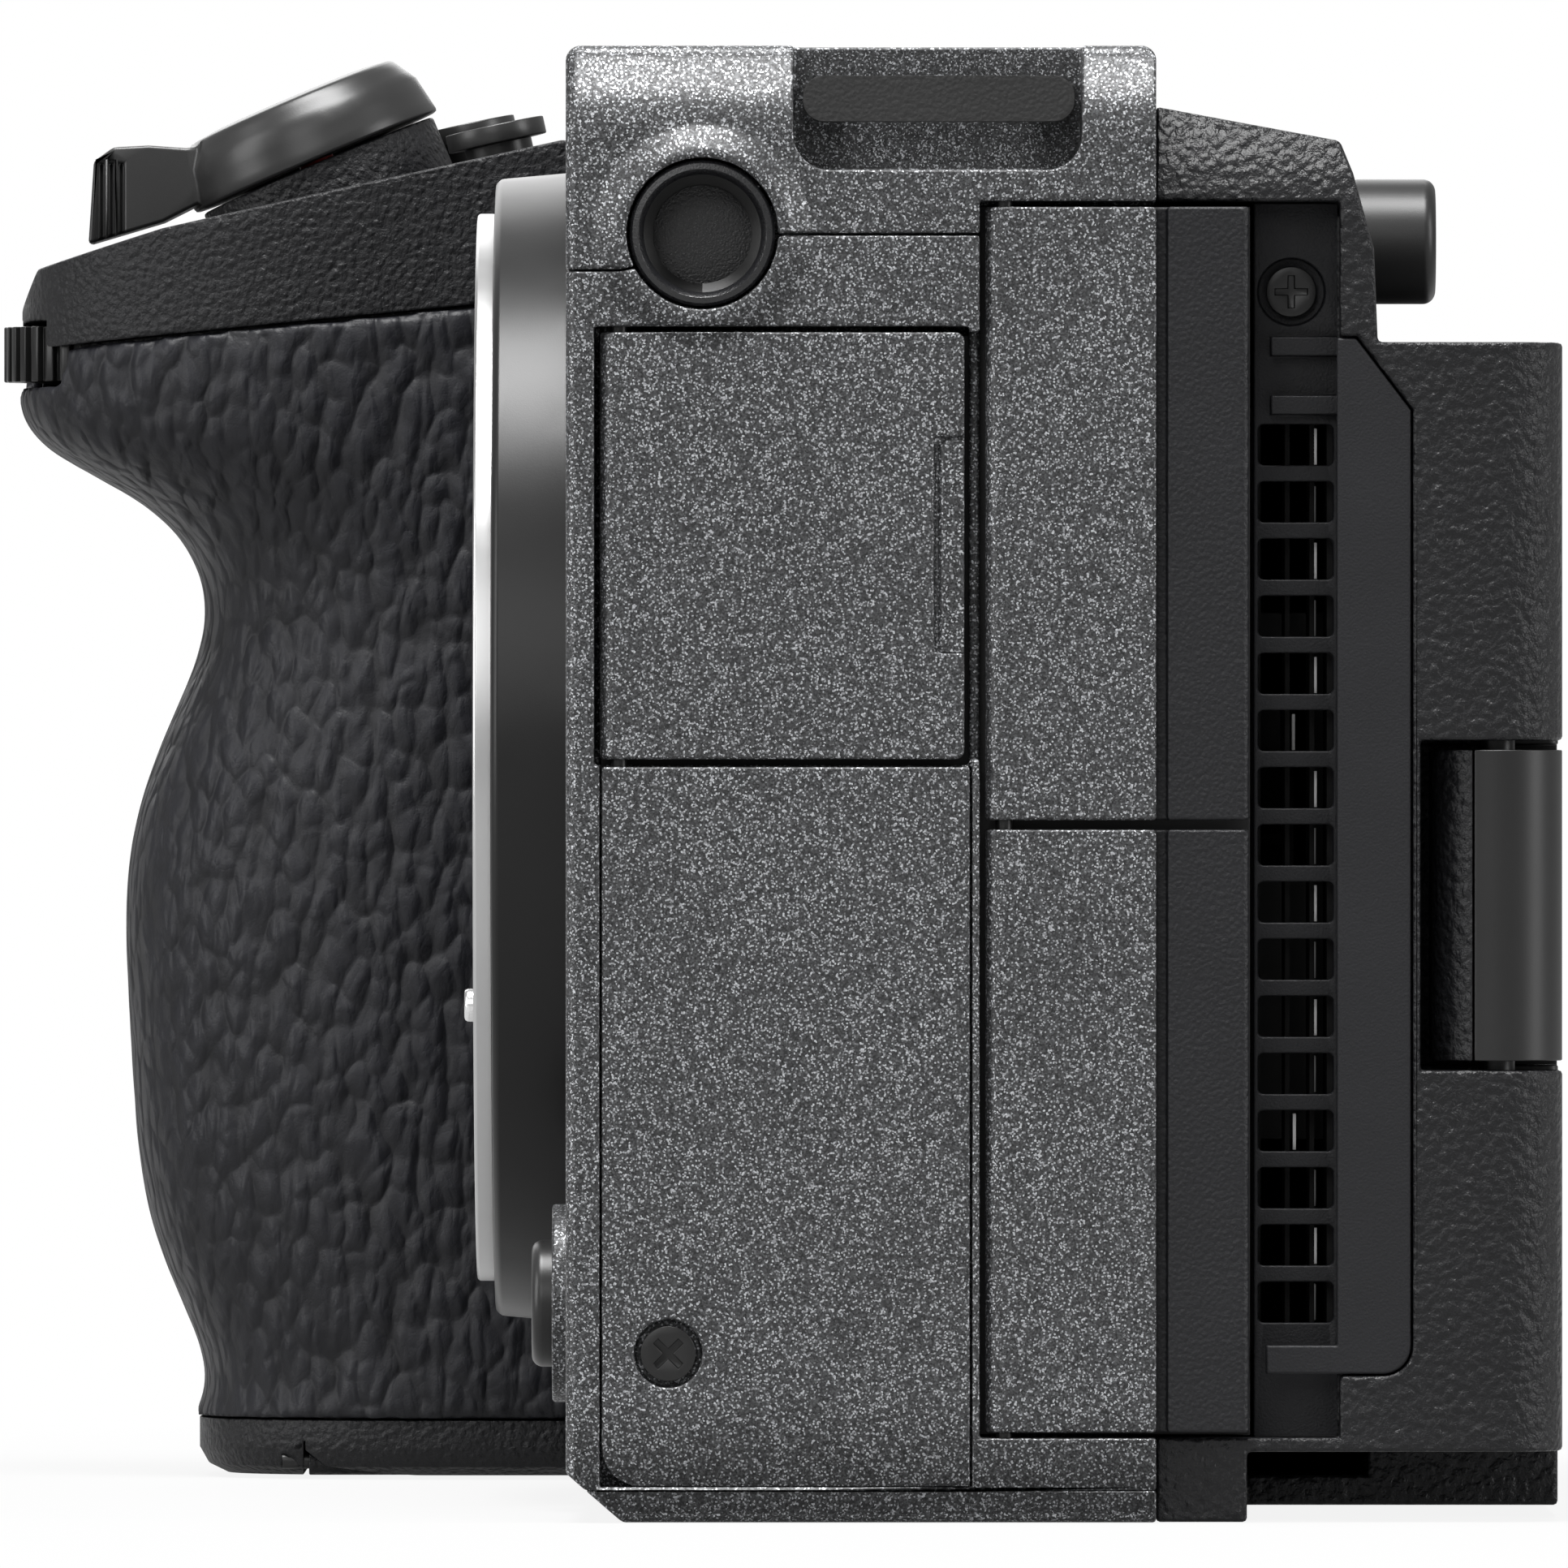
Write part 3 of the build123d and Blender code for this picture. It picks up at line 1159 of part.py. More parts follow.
# Zoom ring with its finger lever, and the record button inside it
zoom_section = Plane(origin=zoom_plane.origin, x_dir=zoom_plane.x_dir, z_dir=-zoom_plane.y_dir)
lever_half = 2.6
with BuildPart() as zoom_lever:
    with BuildSketch(zoom_section) as ring:
        with BuildLine():
            Polyline(
                (0, 0),
                (zoom_ring_r, 0),
                (zoom_ring_r - 0.4, 2.2),
                (zoom_ring_r - 1.3, zoom_ring_height),
                (record_r + 0.35, zoom_ring_height + 0.2),
                (0, zoom_ring_height + 0.2),
                close=True,
            )
        make_face()
    revolve(ring.sketch, axis=Axis(zoom_plane.origin, zoom_plane.z_dir))
    with BuildSketch(side_plane(zoom_x - lever_half)) as lever:
        with BuildLine():
            Polyline(
                (-31.5, 72.4),
                (-33.1, 71.4),
                (-34.9, 70.5),
                (-39.1, 69.25),
                (-38.8, 73.9),
                (-37.7, 74.7),
                (-35.7, 74.8),
                (-33.6, 74.65),
                (-31.5, 74.9),
                close=True,
            )
        make_face()
    extrude(lever.sketch, amount=2 * lever_half)
    # Grip grooves beside the front edge of the lever
    for y in (-38.5, -37.95, -37.4):
        block((zoom_x + lever_half - 0.25, zoom_x + lever_half), (y, y + 0.3), (69.0, 73.8), Mode.SUBTRACT)
    with BuildSketch(zoom_plane) as hole:
        Circle(record_r + 0.35)
    extrude(hole.sketch, amount=zoom_ring_height + 1, mode=Mode.SUBTRACT)
zoom_lever.part.label = "zoom_lever"
export_step(zoom_lever.part, "parts/zoom_lever.step")

with BuildPart() as record_button:
    with BuildSketch(zoom_plane.offset(0.6)):
        Circle(record_r)
    extrude(amount=2.6)
    fillet(record_button.edges().sort_by(Axis.Z)[-1], 0.5)
    with BuildSketch(zoom_plane.offset(-1.6)):
        Circle(1.0)
    extrude(amount=2.6)
record_button.part.label = "record_button"
export_step(record_button.part, "parts/record_button.step")

# Power switch and the two buttons of the deck
with BuildPart() as power_switch:
    block(switch_x, switch_y, switch_z)
    fillet(power_switch.faces().sort_by(Axis.Z)[-1].edges(), 0.4)
    block((switch_x[0] + 1.9, switch_x[1] - 1.9), (switch_y[0] + 2.3, switch_y[1] - 2.3), (69.6, switch_z[0]))
power_switch.part.label = "power_switch"
export_step(power_switch.part, "parts/power_switch.step")

for name, (x, y, height) in top_buttons.items():
    with BuildPart() as button:
        rod_on(deck_plane(x, y), top_button_r, (height - top_button_thick, height))
        rod_on(deck_plane(x, y), top_stem_r, (-1.6, height - top_button_thick))
        rod_on(deck_plane(x, y), 1.0, (-3.6, -1.6))
    button.part.label = name
    export_step(button.part, f"parts/{name}.step")

# Dials with ribbed rims
dial_ribs = 36


def ribbed_dial(x, y, z, radius, axle):
    """A thin dial with cut ribs round its rim and an axle through it, in the current part."""
    rod_z(x, y, radius, z)
    with BuildSketch(level_plane(z[0])) as cuts:
        with Locations((x, y)):
            with PolarLocations(radius, dial_ribs):
                Rectangle(0.9, radius * 0.085)
    extrude(cuts.sketch, amount=z[1] - z[0], mode=Mode.SUBTRACT)
    rod_z(x, y, axle, (z[0] - 0.8, z[1] + 1.4))


with BuildPart() as front_dial:
    ribbed_dial(dial_x, front_dial_y, front_dial_z, front_dial_r, 1.0)
front_dial.part.label = "front_dial"
export_step(front_dial.part, "parts/front_dial.step")

with BuildPart() as rear_dial:
    ribbed_dial(rear_dial_x, rear_dial_y, rear_dial_z, rear_dial_r, 1.2)
rear_dial.part.label = "rear_dial"
export_step(rear_dial.part, "parts/rear_dial.step")

# Joystick: stem and cap
stick_pivot_y = 27.4
stick_pin_r = 1.1

with BuildPart() as stick_stem:
    rod_y(stick_x, stick_z, 1.2, (stick_pivot_y - 0.6, 31.2))
    rod_x(stick_pivot_y, stick_z, stick_pin_r, (stick_x - 1.8, stick_x + 1.8))
    rod_z(stick_x, stick_pivot_y, stick_pin_r, (stick_z - 1.4, stick_z + 1.4))
stick_stem.part.label = "stick_stem"
export_step(stick_stem.part, "parts/stick_stem.step")

with BuildPart() as stick_cap:
    rod_y(stick_x, stick_z, stick_r, (32.0, 36.5))
    fillet(stick_cap.edges().group_by(Axis.Y)[-1], 0.7)
    rod_y(stick_x, stick_z, 1.6, (31.0, 33.4), Mode.SUBTRACT)
    rod_y(stick_x, stick_z, 1.0, (31.6, 33.6))
stick_cap.part.label = "stick_cap"
export_step(stick_cap.part, "parts/stick_cap.step")

# Control wheel, its centre button and the round buttons of the control side
with BuildPart() as control_wheel:
    rod_y(wheel_x, wheel_z, wheel_r, (control_face_y - 0.7, control_face_y + 1.0))
    fillet(control_wheel.edges().group_by(Axis.Y)[-1], 0.4)
    rod_y(wheel_x, wheel_z, wheel_hub_r, (control_face_y - wall - 0.6, control_face_y))
    rod_y(wheel_x, wheel_z, 4.3, (control_face_y - wall - 0.6, control_face_y + 2), Mode.SUBTRACT)
control_wheel.part.label = "control_wheel"
export_step(control_wheel.part, "parts/control_wheel.step")

with BuildPart() as centre_button:
    rod_y(wheel_x, wheel_z, 4.0, (control_face_y - wall - 0.6, control_face_y + 0.9))
    fillet(centre_button.edges().group_by(Axis.Y)[-1], 0.4)
centre_button.part.label = "centre_button"
export_step(centre_button.part, "parts/centre_button.step")

for name, (x, z) in rear_buttons.items():
    with BuildPart() as button:
        rod_y(x, z, rear_button_r, (control_face_y - 1.4, control_face_y + 0.7))
        fillet(button.edges().group_by(Axis.Y)[-1], 0.35)
    button.part.label = name
    export_step(button.part, f"parts/{name}.step")

# Battery, its door and latch, the card slot and the card door
with BuildPart() as battery:
    block(
        (battery_low[0], battery_high[0]),
        (battery_low[1], battery_high[1]),
        (battery_low[2], battery_high[2]),
    )
    fillet(battery.edges().filter_by(Axis.Z), 1.5)
battery.part.label = "battery"
export_step(battery.part, "parts/battery.step")

with BuildPart() as battery_door:
    block(
        (battery_door_x[0], battery_hinge[0]),
        battery_door_y,
        (grip_foot_z, grip_foot_z + battery_door_thick),
    )
    rod_y(battery_hinge[0], battery_hinge[1], 0.8, battery_door_y)
    rod_y(battery_hinge[0], battery_hinge[1], pin_r + running_fit, battery_door_y, Mode.SUBTRACT)
    block((-68.0, -61.5), (-10.0, -4.0), (grip_foot_z, grip_foot_z + 0.8), Mode.SUBTRACT)
battery_door.part.label = "battery_door"
export_step(battery_door.part, "parts/battery_door.step")

with BuildPart() as battery_latch:
    block((-65.4, -61.7), (-9.7, -4.3), (grip_foot_z + 0.05, grip_foot_z + 0.75))
battery_latch.part.label = "battery_latch"
export_step(battery_latch.part, "parts/battery_latch.step")

with BuildPart() as card_slot:
    block((right_x + 2.6, card_depth_x - 0.2), (card_y[0] + 0.2, card_y[1] - 0.2), (card_z[0] + 0.2, card_z[1] - 0.2))
    for low in (card_y[0] + 0.3, card_y[0] + 2.6):
        block((right_x + 2.6, card_depth_x - 1.0), (low, low + 2.15), (card_z[0] + 1.7, card_z[1] - 1.7), Mode.SUBTRACT)
card_slot.part.label = "card_slot"
export_step(card_slot.part, "parts/card_slot.step")

with BuildPart() as card_door:
    block((right_x, card_door_x), (card_door_y[0], card_hinge[1]), card_door_z)
    rod_z(card_hinge[0], card_hinge[1], 0.8, card_door_z)
    rod_z(card_hinge[0], card_hinge[1], pin_r + running_fit, card_door_z, Mode.SUBTRACT)
card_door.part.label = "card_door"
export_step(card_door.part, "parts/card_door.step")

# Cooling: duct with fins behind the vent, and the blower that feeds it
duct_x = (39.0, vent_face_x - grille_thick - 0.2)
duct_y = (24.7, 29.2)
duct_z = (9.0, 58.8)
with BuildPart() as heat_sink:
    block(duct_x, duct_y, duct_z)
    block(duct_x, (duct_y[0] + 0.5, duct_y[1] - 0.5), (duct_z[0] + 0.6, duct_z[1] - 0.6), Mode.SUBTRACT)
    for y in (26.5, 27.8):
        block((duct_x[0], duct_x[1] - 0.6), (y, y + 0.25), (duct_z[0] + 0.6, duct_z[1] - 0.6))
    block((10.0, duct_x[0]), (29.0, 30.6), (14.0, 54.0))
    block((duct_x[0], duct_x[0] + 1.5), (duct_y[1] - 0.5, 30.6), (14.0, 54.0))
heat_sink.part.label = "heat_sink"
export_step(heat_sink.part, "parts/heat_sink.step")

fan_x = 24.0
fan_z = 34.0
fan_y = (20.4, 28.8)
impeller_r = 11.0
with BuildPart() as fan_housing:
    block((fan_x - 14.0, duct_x[0] - 0.2), fan_y, (fan_z - 14.0, fan_z + 14.0))
    rod_y(fan_x, fan_z, impeller_r + 1.2, (fan_y[0] + 1.0, fan_y[1] - 1.0), Mode.SUBTRACT)
    rod_y(fan_x, fan_z, 7.0, (fan_y[0], fan_y[0] + 1.0), Mode.SUBTRACT)
    block((fan_x, duct_x[0] - 0.2), (fan_y[0] + 4.8, fan_y[1] - 1.0), (fan_z, fan_z + impeller_r + 1.2), Mode.SUBTRACT)
    rod_y(fan_x, fan_z, 0.75, (fan_y[0] + 3.0, fan_y[1] - 0.8))
fan_housing.part.label = "fan_housing"
export_step(fan_housing.part, "parts/fan_housing.step")

with BuildPart() as fan_impeller:
    rod_y(fan_x, fan_z, 4.2, (fan_y[0] + 1.6, fan_y[1] - 1.6))
    rod_y(fan_x, fan_z, impeller_r, (fan_y[1] - 2.2, fan_y[1] - 1.6))
    with BuildSketch(front_plane(fan_y[1] - 2.2)):
        with Locations((fan_x, fan_z)):
            with PolarLocations(7.5, 13):
                Rectangle(6.8, 0.7, rotation=35)
    extrude(amount=fan_y[1] - fan_y[0] - 3.8)
    rod_y(fan_x, fan_z, 0.75 + running_fit, (fan_y[0], fan_y[1]), Mode.SUBTRACT)
fan_impeller.part.label = "fan_impeller"
export_step(fan_impeller.part, "parts/fan_impeller.step")

# Strap lugs: staples over a niche, one on each side
lug_y = (1.0, 15.3)
lug_z = (73.8, 76.2)
with BuildPart() as strap_lugs:
    with BuildSketch(side_plane(left_x - 2.4)):
        rect(lug_y[0], lug_y[1], lug_z[0], lug_z[1], 1.1)
    extrude(amount=2.25)
    for low in (lug_y[0], lug_y[1] - 2.2):
        block((strap_floor_x, left_x - 2.0), (low, low + 2.2), (lug_z[0] + 0.4, lug_z[1] - 0.4))
    with BuildSketch(side_plane(right_x + 0.2)):
        rect(lug_right_y[0], lug_right_y[1], lug_foot_z[0] - 0.4, lug_foot_z[1] + 0.4, 1.1)
    extrude(amount=1.4)
    for y in lug_feet_y:
        block((right_x + 1.0, right_x + lug_out + 2.0), y, lug_foot_z)
strap_lugs.part.label = "strap_lugs"
export_step(strap_lugs.part, "parts/strap_lugs.step")

# Hinge pins of the doors and of the monitor, all held in the body
with BuildPart() as hinge_pins:
    rod_z(hinge_x, mic_pin_y, pin_r, (mic_door_z[0] - 1.5, mic_door_z[1] + 1.5))
    rod_z(hinge_x, port_pin_y, pin_r, (usb_door_z[0] - 1.5, hdmi_door_z[1] + 1.2))
    rod_z(swing_x, swing_y, swing_pin_r, (hinge_wall_z[0] - 1.6, hinge_wall_z[1] + 1.6))
    rod_y(*battery_hinge, pin_r, (battery_door_y[0] - 1.5, battery_door_y[1] + 1.5))
    rod_z(*card_hinge, pin_r, (card_door_z[0] - 1.5, card_door_z[1] + 1.5))
hinge_pins.part.label = "hinge_pins"
export_step(hinge_pins.part, "parts/hinge_pins.step")


def cross_slot(plane, radius, turn, depth):
    """Cut a cross recess into a screw head that lies under the plane."""
    with BuildSketch(plane) as cross:
        Rectangle(radius * 1.3, radius * 0.26, rotation=turn)
        Rectangle(radius * 0.26, radius * 1.3, rotation=turn)
    extrude(cross.sketch, amount=-depth, mode=Mode.SUBTRACT)


# Screws: base plate, lens flange, side panel and vent grille
with BuildPart() as screws:
    for x, y in base_screw_places:
        rod_z(x, y, 1.4, (0.15, 0.9))
        rod_z(x, y, 0.8, (0.9, base_seam_z + 0.6))
        cross_slot(Plane(origin=(x, y, 0.15), z_dir=(0, 0, -1)), 1.4, 0, 0.35)
    for turn in flange_screw_turns:
        x = flange_screw_circle_r * cos(radians(turn))
        z = lens_z + flange_screw_circle_r * sin(radians(turn))
        rod_y(x, z, flange_screw_head_r - 0.05, (flange_front_y + 0.1, flange_front_y + 0.6))
        rod_y(x, z, 0.7, (flange_front_y + 0.6, collar_front_y))
        cross_slot(Plane(origin=(x, flange_front_y + 0.1, z), z_dir=(0, -1, 0)), flange_screw_head_r, 0, 0.3)
    for face_x, y, z, radius, turn in [
        (left_x - 0.1, case_screw_y, case_screw_z, case_screw_r, 45),
        (vent_face_x - 0.3, vent_screw[0], vent_screw[1], vent_screw_r, 0),
    ]:
        rod_x(y, z, radius, (face_x - 0.6, face_x))
        rod_x(y, z, 0.7, (face_x - 1.3, face_x - 0.6))
        cross_slot(Plane(origin=(face_x, y, z), z_dir=(1, 0, 0)), radius, turn, 0.4)
screws.part.label = "screws"
export_step(screws.part, "parts/screws.step")
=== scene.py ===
"""Looks of the compact cinema camera: finishes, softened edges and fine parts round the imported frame."""

import json
from math import cos, pi, radians, sin, tau

import bmesh
import bpy
from bpy.props import FloatProperty, FloatVectorProperty, IntProperty, PointerProperty
from bpy.types import Operator, Panel, PropertyGroup
from mathutils import Matrix, Vector, noise

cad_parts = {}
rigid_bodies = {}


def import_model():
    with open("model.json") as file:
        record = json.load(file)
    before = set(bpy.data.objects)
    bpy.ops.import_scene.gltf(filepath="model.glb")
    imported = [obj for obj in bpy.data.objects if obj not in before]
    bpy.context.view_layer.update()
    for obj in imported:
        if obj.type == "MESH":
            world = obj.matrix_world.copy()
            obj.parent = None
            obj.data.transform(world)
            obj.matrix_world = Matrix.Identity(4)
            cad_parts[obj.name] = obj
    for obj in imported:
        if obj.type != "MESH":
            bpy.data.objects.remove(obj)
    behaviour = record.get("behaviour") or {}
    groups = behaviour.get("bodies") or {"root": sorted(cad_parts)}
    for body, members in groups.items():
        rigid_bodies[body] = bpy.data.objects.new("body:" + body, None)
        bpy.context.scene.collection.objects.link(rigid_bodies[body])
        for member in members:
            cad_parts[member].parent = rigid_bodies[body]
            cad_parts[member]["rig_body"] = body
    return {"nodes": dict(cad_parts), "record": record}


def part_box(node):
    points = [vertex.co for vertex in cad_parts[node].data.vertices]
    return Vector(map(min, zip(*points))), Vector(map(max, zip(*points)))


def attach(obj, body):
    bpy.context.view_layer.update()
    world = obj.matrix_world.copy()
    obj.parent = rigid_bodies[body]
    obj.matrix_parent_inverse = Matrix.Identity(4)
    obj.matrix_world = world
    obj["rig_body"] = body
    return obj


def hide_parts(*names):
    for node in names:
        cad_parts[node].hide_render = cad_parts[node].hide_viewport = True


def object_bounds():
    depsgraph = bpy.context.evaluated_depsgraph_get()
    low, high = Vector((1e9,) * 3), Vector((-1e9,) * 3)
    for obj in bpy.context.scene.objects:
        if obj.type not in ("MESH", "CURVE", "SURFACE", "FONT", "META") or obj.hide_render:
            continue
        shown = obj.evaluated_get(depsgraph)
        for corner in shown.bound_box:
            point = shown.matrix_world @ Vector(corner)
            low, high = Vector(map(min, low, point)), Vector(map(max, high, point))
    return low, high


bl_info = {
    "name": "Cinema Camera Looks",
    "version": (1, 0, 0),
    "blender": (4, 5, 0),
    "location": "3D View > Sidebar > Camera",
    "description": "Dresses the packed cinema camera with its finishes and fine parts",
    "category": "Object",
}

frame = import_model()
CAD_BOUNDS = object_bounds()
NODES = frame["nodes"]
MM = 0.001

WHITE = (1.0, 1.0, 1.0, 1.0)
BLACK = (0.0, 0.0, 0.0)
# Corners of a CAD mesh nearer than this are one corner
SAME_PLACE = 0.002 * MM
# Faces that meet at less than this are one flat face
FLAT_ANGLE = radians(0.2)
PAIR_ANGLE = radians(0.3)
# Edges sharper than this are rounded
EDGE_ANGLE = radians(32)
# Weight of large faces in the shading of the rounded edges beside them; 50 is neutral
LARGE_FACES = 80
# The finish leans the normals within this depth of the left side, where they face it at least this squarely
SIDE_DEPTH = 3 * MM
SIDE_FACING = 0.9
# The rear cover's side leans between these two heights up to this slope
REAR_CROWN = (67.5 * MM, 75.5 * MM, 0.9)
# Radius that closes a turned piece on its axis
AXIS = 0.0001 * MM


def middle(node):
    """Centre of a node's box."""
    low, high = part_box(node)
    return (low + high) / 2


# Settings that a user would change


class PaintSettings(PropertyGroup):
    """Speckled metal paint of the left housing."""

    dark: FloatProperty(name="Dark", description="Grey of the deepest speck", default=0.008)
    body: FloatProperty(name="Body", description="Grey of most of the paint", default=0.034)
    flake: FloatProperty(name="Flake", description="Grey of the brightest flake", default=0.46)
    flake_size: FloatProperty(
        name="Flake size", description="Width of one speck",
        default=0.088 * MM, unit="LENGTH", precision=6
    )
    roughness: FloatProperty(name="Roughness", description="Roughness of the paint", default=0.46)
    halo_place: FloatVectorProperty(
        name="Halo place", description="Centre of the raised ring round the side thread", subtype="XYZ",
        size=3, default=(0.0, -4.29 * MM, 67.8 * MM)
    )
    halo_inner: FloatProperty(
        name="Halo inner radius", description="Where the raised ring is highest",
        default=4.3 * MM, unit="LENGTH", precision=6
    )
    halo_outer: FloatProperty(
        name="Halo outer radius", description="Where the raised ring ends",
        default=6.0 * MM, unit="LENGTH", precision=6
    )
    crown_foot: FloatProperty(
        name="Crown foot", description="Height at which the side starts to lean in",
        default=72.6 * MM, unit="LENGTH", precision=6
    )
    crown_top: FloatProperty(
        name="Crown top", description="Height at which the side leans in most",
        default=77.8 * MM, unit="LENGTH", precision=6
    )
    crown_lean: FloatProperty(
        name="Crown lean", description="Slope of the side at its two ends", default=1.15
    )
    keel_top: FloatProperty(
        name="Keel top", description="Height below which the side leans under",
        default=6.5 * MM, unit="LENGTH", precision=6
    )
    keel_foot: FloatProperty(
        name="Keel foot", description="Height at which the side leans under most",
        default=0.5 * MM, unit="LENGTH", precision=6
    )


class PlasticSettings(PropertyGroup):
    """Black plastics of the rear, the grip and the doors."""

    black: FloatVectorProperty(
        name="Black", description="Colour of the plastic", subtype="COLOR",
        default=(0.006, 0.0061, 0.0069)
    )
    pebble: FloatProperty(
        name="Pebble", description="Width of a pebble of the coarse grain",
        default=0.42 * MM, unit="LENGTH", precision=6
    )
    fine_grain: FloatProperty(
        name="Fine grain", description="Width of a grain of the fine finish",
        default=0.2 * MM, unit="LENGTH", precision=6
    )


class LeatherSettings(PropertyGroup):
    """Leatherette of the hand grip."""

    color: FloatVectorProperty(
        name="Colour", description="Colour of the leatherette", subtype="COLOR",
        default=(0.0048, 0.005, 0.0068)
    )
    grain: FloatProperty(
        name="Grain", description="Width of one pebble",
        default=1.2 * MM, unit="LENGTH", precision=6
    )
    depth: FloatProperty(
        name="Depth", description="Height of one pebble",
        default=0.06 * MM, unit="LENGTH", precision=6
    )
    voxel: FloatProperty(
        name="Voxel", description="Mesh width of the skin",
        default=0.34 * MM, unit="LENGTH", precision=6
    )


class EdgeSettings(PropertyGroup):
    """Rounding of the edges."""

    housing: FloatProperty(
        name="Housing", description="Edge radius of the metal housing",
        default=0.16 * MM, unit="LENGTH", precision=6
    )
    plastic: FloatProperty(
        name="Plastic", description="Edge radius of the plastic covers",
        default=0.22 * MM, unit="LENGTH", precision=6
    )
    small: FloatProperty(
        name="Small parts", description="Edge radius of buttons and screws",
        default=0.07 * MM, unit="LENGTH", precision=6
    )
    steps: IntProperty(name="Steps", description="Faces across each rounded edge", default=2, min=1, max=4)


class ThreadSettings(PropertyGroup):
    """Threaded inserts for camera screws."""

    pitch: FloatProperty(
        name="Pitch", description="Rise of one turn",
        default=1.27 * MM, unit="LENGTH", precision=6
    )
    crest_radius: FloatProperty(
        name="Crest radius", description="Inner radius of the thread",
        default=2.62 * MM, unit="LENGTH", precision=6
    )
    root_radius: FloatProperty(
        name="Root radius", description="Outer radius of the thread",
        default=3.15 * MM, unit="LENGTH", precision=6
    )


class VentSettings(PropertyGroup):
    """Cooling fins that show through the vent."""

    count: IntProperty(name="Fins", description="Fin edges seen through the slots", default=16, min=1)
    pitch: FloatProperty(
        name="Pitch", description="Distance of the slots",
        default=3.02 * MM, unit="LENGTH", precision=6
    )
    top: FloatProperty(
        name="Top", description="Height of the first slot's top",
        default=57.9 * MM, unit="LENGTH", precision=6
    )
    place: FloatProperty(
        name="Place", description="Where the fin edges stand along Y",
        default=28.1 * MM, unit="LENGTH", precision=6
    )


class StageSettings(PropertyGroup):
    """Floor, lamps and the photograph's camera."""

    distance: FloatProperty(
        name="Distance", description="Camera to the lens axis",
        default=1.633, unit="LENGTH", precision=6
    )
    eye_height: FloatProperty(
        name="Eye height", description="Height of the camera",
        default=0.0389, unit="LENGTH", precision=6
    )
    focal: FloatProperty(name="Focal length", description="Lens for a 36 mm sensor", default=687.2)
    ambient: FloatProperty(name="Ambient", description="Strength of the surrounding light", default=0.13)
    mirrored: FloatProperty(
        name="Mirrored", description="Share of the white background in reflections", default=0.35
    )
    lamp: FloatProperty(name="Lamps", description="Factor on all lamps", default=1.0)


# Shader expressions


class Value:
    """A node's output for use in Python expressions; each operation adds a Math node."""

    def __init__(self, shader, socket):
        self.shader = shader
        self.socket = socket

    def __add__(self, other):
        return self.shader.math("ADD", self, other)

    def __radd__(self, other):
        return self.shader.math("ADD", other, self)

    def __sub__(self, other):
        return self.shader.math("SUBTRACT", self, other)

    def __rsub__(self, other):
        return self.shader.math("SUBTRACT", other, self)

    def __mul__(self, other):
        return self.shader.math("MULTIPLY", self, other)

    def __pow__(self, other):
        return self.shader.math("POWER", self, other)


